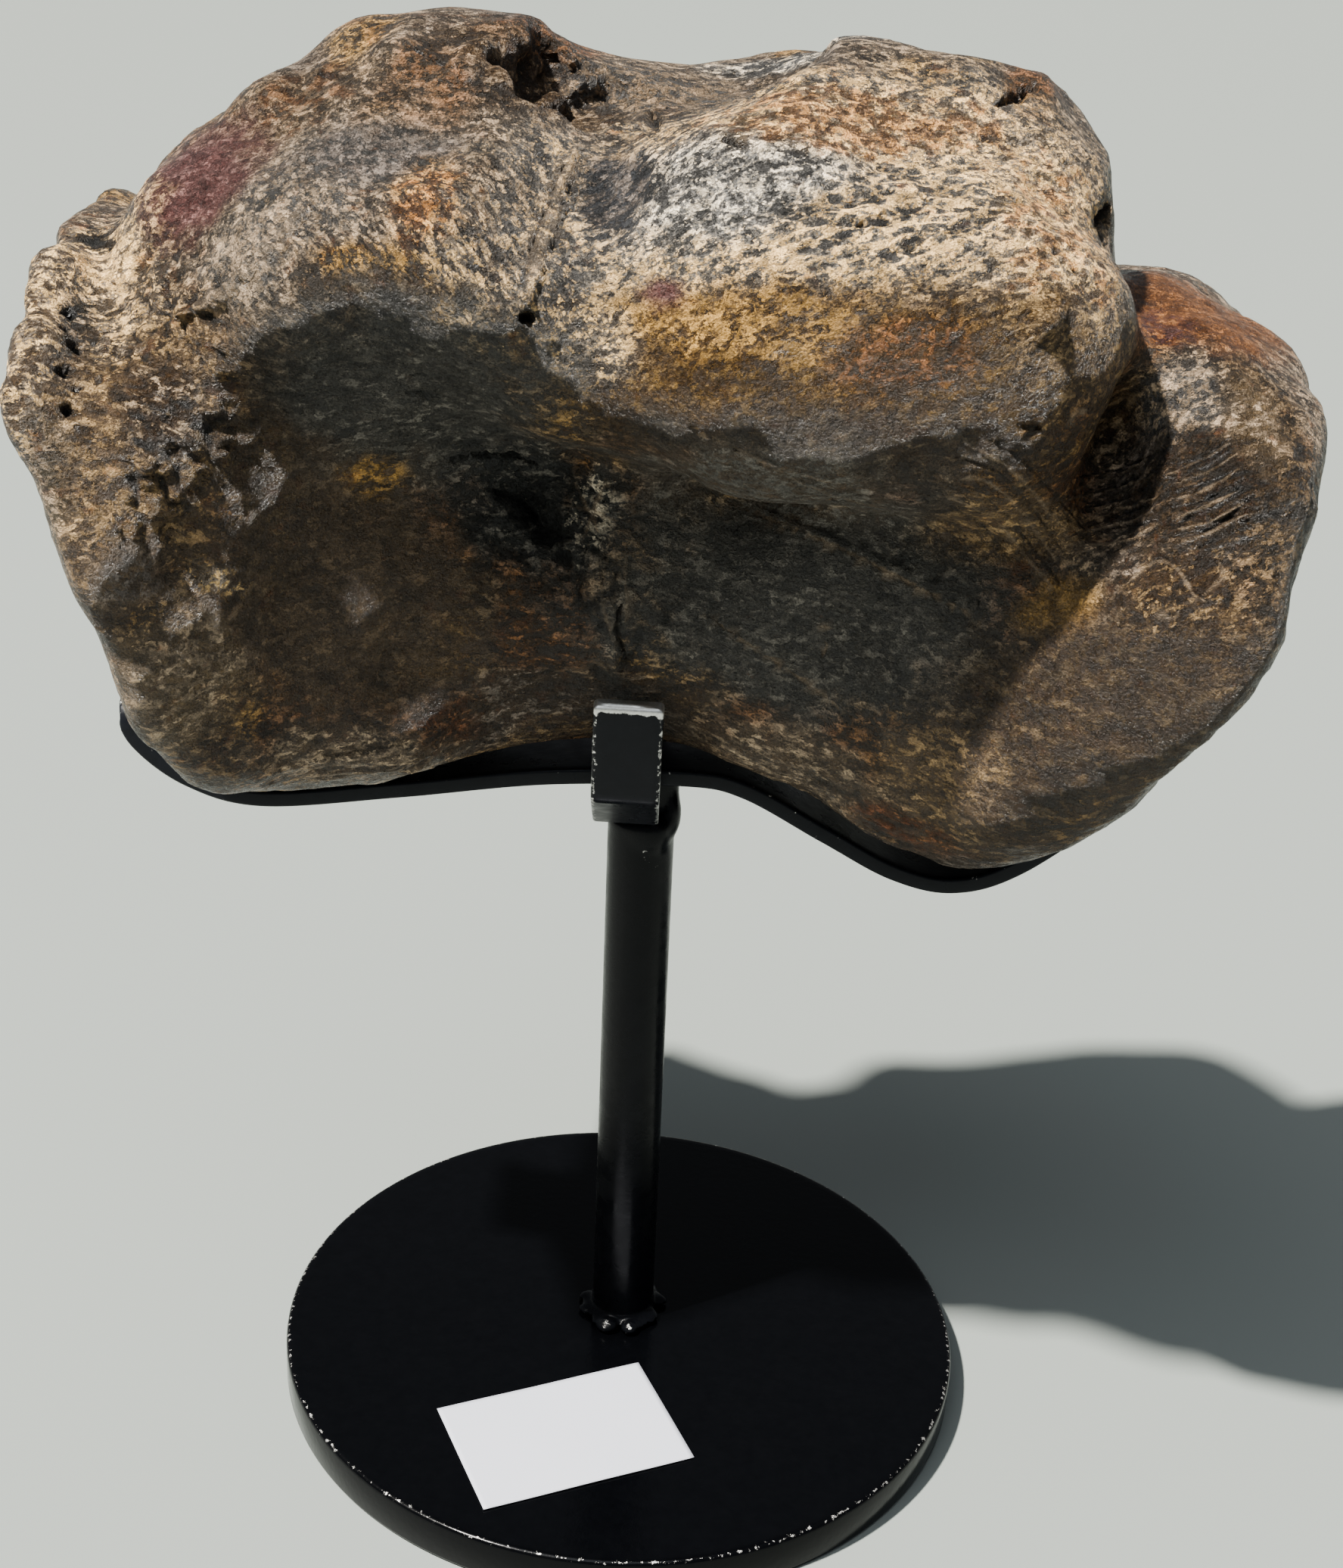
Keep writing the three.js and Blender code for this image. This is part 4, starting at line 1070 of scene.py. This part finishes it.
def black_surface(name, smoothest, roughest, tone):
    """Black paint that is worn to bare steel where the attribute worn is near 1 or over it."""
    surface = Surface(name)
    places = surface.places()
    worn = surface.attribute("worn")
    speckle = surface.math("MULTIPLY_ADD", surface.noise(places, 1.6, 6, 0.7), 2.2, -1.1)
    bare = surface.span(surface.math("ADD", worn, speckle), 0.92, 1.12)
    dull = surface.span(surface.noise(places, 0.35, 5, 0.6), 0.3, 0.7, smoothest, roughest)
    blacks = [tuple(tone * value for value in black) for black in PAINT_BLACKS]
    paint = surface.mix(surface.noise(places, 0.8, 5), *blacks)
    steel = surface.mix(surface.noise(places, 5, 3), *BARE_STEELS)
    grain = surface.noise(places, 1.4, 4)
    height = surface.math("MULTIPLY_ADD", bare, -0.6, grain)
    surface.bump(height, 0.035, 0.6)
    return surface.finish(
        base_color=surface.mix(bare, paint, steel), metallic=bare,
        roughness=surface.math("MULTIPLY_ADD", bare, 0.12, dull), specular_ior_level=0.1)


def paper_surface():
    surface = Surface("label paper")
    places = surface.places()
    surface.bump(surface.noise(places, 3, 3), 0.02, 0.4)
    return surface.finish(base_color=PAPER, roughness=0.5)


def spline(points, count):
    """Evenly spaced points on the smooth curve through a line's points."""
    points = np.array(points, float)
    last = len(points) - 1
    places = np.linspace(0, last, last * 60 + 1)
    i = np.minimum(places.astype(int), last - 1)
    t = (places - i)[:, None]
    a, b = points[np.maximum(i - 1, 0)], points[i]
    c, d = points[i + 1], points[np.minimum(i + 2, last)]
    into, out = (c - a) / 2, (d - b) / 2
    curve = (2 * t ** 3 - 3 * t ** 2 + 1) * b + (t ** 3 - 2 * t ** 2 + t) * into
    curve = curve + (3 * t ** 2 - 2 * t ** 3) * c + (t ** 3 - t ** 2) * out
    gone = np.concatenate([[0], np.cumsum(np.linalg.norm(np.diff(curve, axis=0), axis=1))])
    wanted = np.linspace(0, gone[-1], count)
    return np.stack([np.interp(wanted, gone, axis) for axis in curve.T], 1), wanted


def joined_rings(name, rings, worn):
    """A closed skin over rings of points, with its first and last ring filled in."""
    count, sides = rings.shape[:2]
    starts = np.arange(count - 1)[:, None] * sides
    k = np.arange(sides)
    after = (k + 1) % sides
    faces = np.stack([starts + k, starts + after, starts + sides + after, starts + sides + k], -1)
    made = mesh_object(name, rings.reshape(-1, 3), faces.reshape(-1, 4))
    shape = bmesh.new()
    shape.from_mesh(made.data)
    shape.verts.ensure_lookup_table()
    shape.faces.new([shape.verts[n] for n in reversed(range(sides))])
    shape.faces.new([shape.verts[(count - 1) * sides + n] for n in range(sides)])
    bmesh.ops.recalc_face_normals(shape, faces=shape.faces)
    shape.to_mesh(made.data)
    shape.free()
    made.data.shade_smooth()
    set_attribute(made, "worn", np.broadcast_to(worn, (count, sides)).reshape(-1).astype(float))
    return made


def bar_section(wide, thick, corner):
    """Points around a rounded oblong, with how worn each is: 1 on its corners and 0 between."""
    inner = np.array([wide / 2 - corner, thick / 2 - corner])

    def on_corner(n, part):
        angle = math.radians(90 * (n + part))
        return inner * CORNERS[n % 4] + corner * np.array([math.cos(angle), math.sin(angle)])

    points, worn = [], []
    for n in range(4):
        rounded = [on_corner(n, step / CORNER_STEPS) for step in range(CORNER_STEPS + 1)]
        first, last = rounded[-1], on_corner(n + 1, 0)
        length = np.linalg.norm(last - first)
        shares = np.arange(1, max(int(length / FLAT_STEP), 1)) * FLAT_STEP / length
        flat = [first + (last - first) * share for share in shares]
        points += rounded + flat
        worn += [1.0] * len(rounded) + [0.0] * len(flat)
    return np.array(points), np.array(worn)


def bent_bar(name, line, wide, plane, middle, tip_round, edge_worn, tip_worn):
    """A flat bar bent along a line in the XZ or the YZ plane, its tips rounded."""
    route, gone = spline(line, max(int(np.ptp(np.array(line), axis=0).max() * RINGS_PER_MM), 40))
    ends = np.linspace(0, 1, TIP_RINGS) ** 2 * tip_round
    wanted = np.unique(np.concatenate([gone, ends, gone[-1] - ends]))
    route = np.stack([np.interp(wanted, gone, axis) for axis in route.T], 1)
    ahead = np.gradient(route, wanted, axis=0)
    ahead = ahead / np.linalg.norm(ahead, axis=1, keepdims=True)
    section, section_worn = bar_section(wide, BAR_THICK, BAR_CORNER)
    rings, worn = [], []
    for at, way, place in zip(route, ahead, wanted):
        left = min(place, wanted[-1] - place)
        slack = tip_round - math.sqrt(max(tip_round ** 2 - max(tip_round - left, 0) ** 2, 0))
        across = section[:, :1] * (wide - 2 * slack) / wide
        thin = (BAR_THICK - 2 * min(slack, BAR_CORNER)) / BAR_THICK
        off = section[:, 1:] * thin * np.array([-way[1], way[0]])
        flat = at + off
        if plane == "XZ":
            ring = np.concatenate([flat[:, :1], middle + across, flat[:, 1:]], 1)
        else:
            ring = np.concatenate([middle + across, flat[:, :1], flat[:, 1:]], 1)
        rings.append(ring)
        near_tip = tip_worn[0] if place < wanted[-1] / 2 else tip_worn[1]
        tip = near_tip * max(1 - left / WORN_TIP, 0)
        worn.append(np.maximum(section_worn * edge_worn, tip))
    return joined_rings(name, np.array(rings), np.array(worn))


def turned_piece(name, profile, worn, sides):
    """A piece turned on a lathe, from its profile of radius and height."""
    angles = np.linspace(0, 2 * math.pi, sides, endpoint=False)
    profile = np.array(profile, float)
    rings = np.stack([
        profile[:, :1] * np.cos(angles), profile[:, :1] * np.sin(angles),
        np.repeat(profile[:, 1:], sides, 1),
    ], -1)
    return joined_rings(name, rings, np.array(worn)[:, None])


def make_disc():
    """The round foot, with a rounded edge above and below."""
    bend = [math.radians(a) for a in (0, 30, 60, 90)]
    inner = DISC_RADIUS - DISC_BEVEL
    under = [(inner + DISC_BEVEL * math.sin(a), DISC_BEVEL * (1 - math.cos(a))) for a in bend]
    over = [(r, DISC_THICK - z) for r, z in reversed(under)]
    flat = (DISC_CENTRE, inner - DISC_BAND)
    profile = [(r, 0) for r in flat] + under + over + [(r, DISC_THICK) for r in reversed(flat)]
    disc = turned_piece("round_foot", profile, DISC_WORN, DISC_SIDES)
    disc.data.materials.append(black_surface("gloss black paint", *DISC_PAINT))
    dress(disc, "base_disc")


def cylinder_depth(points, radius, bottom, top, edge):
    past = np.stack([
        np.hypot(points[:, 0], points[:, 1]) - radius + edge,
        np.abs(points[:, 2] - (bottom + top) / 2) - (top - bottom) / 2 + edge,
    ], 1)
    return np.linalg.norm(np.maximum(past, 0), axis=1) + np.minimum(past.max(1), 0) - edge


def depth_in_post(points):
    """The rod, its neck and the beads of weld round its foot and head, from its foot up."""
    rod_top = POST_TOP - POST_FOOT
    neck_top = NECK_TOP - POST_FOOT
    depth = cylinder_depth(points, POST_RADIUS, 0, rod_top, 0.8)
    depth = melt(depth, cylinder_depth(points, NECK_RADIUS, 5, neck_top, 0.3), 0.8)
    draws = np.random.default_rng(FOOT_BEAD_SEED)
    for n in range(FOOT_BEADS):
        angle = math.radians((n + draws.uniform(-0.4, 0.4)) * 360 / FOOT_BEADS)
        out = POST_RADIUS + draws.uniform(-0.3, 0.3)
        size = draws.uniform((0.9, 0.9, 0.4), (1.7, 1.7, 0.8))
        at = (out * math.cos(angle), out * math.sin(angle), 0.1)
        depth = melt(depth, depth_in_form(points, at, size, (0, 0, 0), None), 0.8)
    for at, size in FOOT_WELDS:
        depth = melt(depth, depth_in_form(points, at, size, (0, 0, 0), None), 0.4)
    for at, size in HEAD_WELDS:
        depth = melt(depth, depth_in_form(points, at, size, (0, 0, 0), None), 0.9)
    return np.maximum(depth, -points[:, 2])


def make_post():
    high = NECK_TOP - POST_FOOT + 1
    space = ((-POST_SPACE, -POST_SPACE, -1), (POST_SPACE, POST_SPACE, high))
    points, quads = skin(depth_in_post, space, POST_CELL)
    worn = np.zeros(len(points))
    for at, size, amount in POST_WORN:
        near = np.linalg.norm((points - np.array(at)) / np.array(size), axis=1)
        worn = np.maximum(worn, amount * np.clip(1.6 - near, 0, 1))
    lean = np.array(Matrix.Rotation(math.radians(POST_LEAN), 3, "Y"))
    post = mesh_object("rod_and_welds", points @ lean.T + (*POST_AT, POST_FOOT), quads)
    set_attribute(post, "worn", worn)
    post.data.materials.append(black_surface("rod paint", *POST_PAINT))
    dress(post, "post")


def make_cradle():
    """The bar under the bone and the two clips, the back one a mirror of the front one."""
    paint = black_surface("bar paint", *BAR_PAINT)
    cradle = bent_bar("cradle", CRADLE_LINE, CRADLE_WIDE, "XZ", POST_AT[1], CRADLE_TIP, *CRADLE_WORN)
    cradle.data.materials.append(paint)
    dress(cradle, "cradle_bar")
    for name, side in (("front_clip", 1), ("back_clip", -1)):
        line = [(y if side > 0 else 2 * POST_AT[1] - y, z) for y, z in CLIP_LINE]
        clip = bent_bar("bent_" + name, line, CLIP_WIDE, "YZ", CLIP_X, CLIP_TIP, *CLIP_WORN)
        clip.data.materials.append(paint)
        dress(clip, name)


def make_label():
    """A sheet of paper that lies in slight waves."""
    wide, deep = LABEL_SIZE
    across, up = np.meshgrid(*(np.linspace(-0.5, 0.5, count) for count in LABEL_CELLS), indexing="ij")
    turn = np.array(Matrix.Rotation(math.radians(LABEL_TURN), 3, "Z"))
    sunk = 0.04 + 0.02 * np.sin(9 * across + 4 * up)
    rows, columns = across.shape
    here = (np.arange(rows - 1)[:, None] * columns + np.arange(columns - 1)).reshape(-1, 1)
    faces = here + np.array([0, columns, columns + 1, 1])
    top = np.stack([across * wide, up * deep, LABEL_THICK - sunk], -1).reshape(-1, 3)
    label = mesh_object("blank_label", top @ turn.T + (*LABEL_AT, LABEL_BASE), faces)
    thickness = label.modifiers.new("paper", "SOLIDIFY")
    thickness.thickness = PAPER_THICK * MM
    thickness.offset = -1
    label.data.materials.append(paper_surface())
    dress(label, "price_label")


def dress(piece, node):
    """Hands a piece over, in the place of a node of the CAD model."""
    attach(piece, "root")
    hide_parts(node)


def make_stage():
    bpy.ops.mesh.primitive_circle_add(vertices=96, radius=FLOOR_RADIUS, fill_type="NGON")
    floor = bpy.context.object
    floor.name = "floor"
    surface = Surface("pale floor")
    floor.data.materials.append(surface.finish(base_color=FLOOR_COLOUR, roughness=0.6))
    world = bpy.data.worlds.new("studio")
    world.use_nodes = True
    background = world.node_tree.nodes["Background"]
    background.inputs["Color"].default_value = SKY_COLOUR
    background.inputs["Strength"].default_value = SKY_STRENGTH
    bpy.context.scene.world = world
    sun = bpy.data.lights.new("key", "SUN")
    sun.energy = KEY_STRENGTH
    sun.angle = math.radians(KEY_SPREAD)
    sun.color = KEY_COLOUR
    place_light("key", sun, KEY_WAY)
    panel = bpy.data.lights.new("overhead", "AREA")
    panel.shape = "DISK"
    panel.size = PANEL_SIZE
    panel.energy = PANEL_POWER
    panel.color = PANEL_COLOUR
    place_light("overhead", panel, PANEL_WAY)


def place_light(name, light, way):
    """Sets a light off the bone's middle, in the given way, facing it."""
    way = Vector(way).normalized()
    made = bpy.data.objects.new(name, light)
    turn = way.to_track_quat("Z", "Y").to_matrix().to_4x4()
    made.matrix_world = Matrix.Translation(Vector(LIGHTS_FACE) + way * LIGHTS_FAR) @ turn
    bpy.context.scene.collection.objects.link(made)


bone_skin = skin(depth_in_bone, BONE_SPACE, CELL)
bone_tree = BVHTree.FromPolygons((bone_skin[0] * MM).tolist(), bone_skin[1].tolist())
bone = make_bone()
bone.data.materials.append(bone_surface())
dress(bone, "vertebra")
make_disc()
make_post()
make_cradle()
make_label()
make_stage()
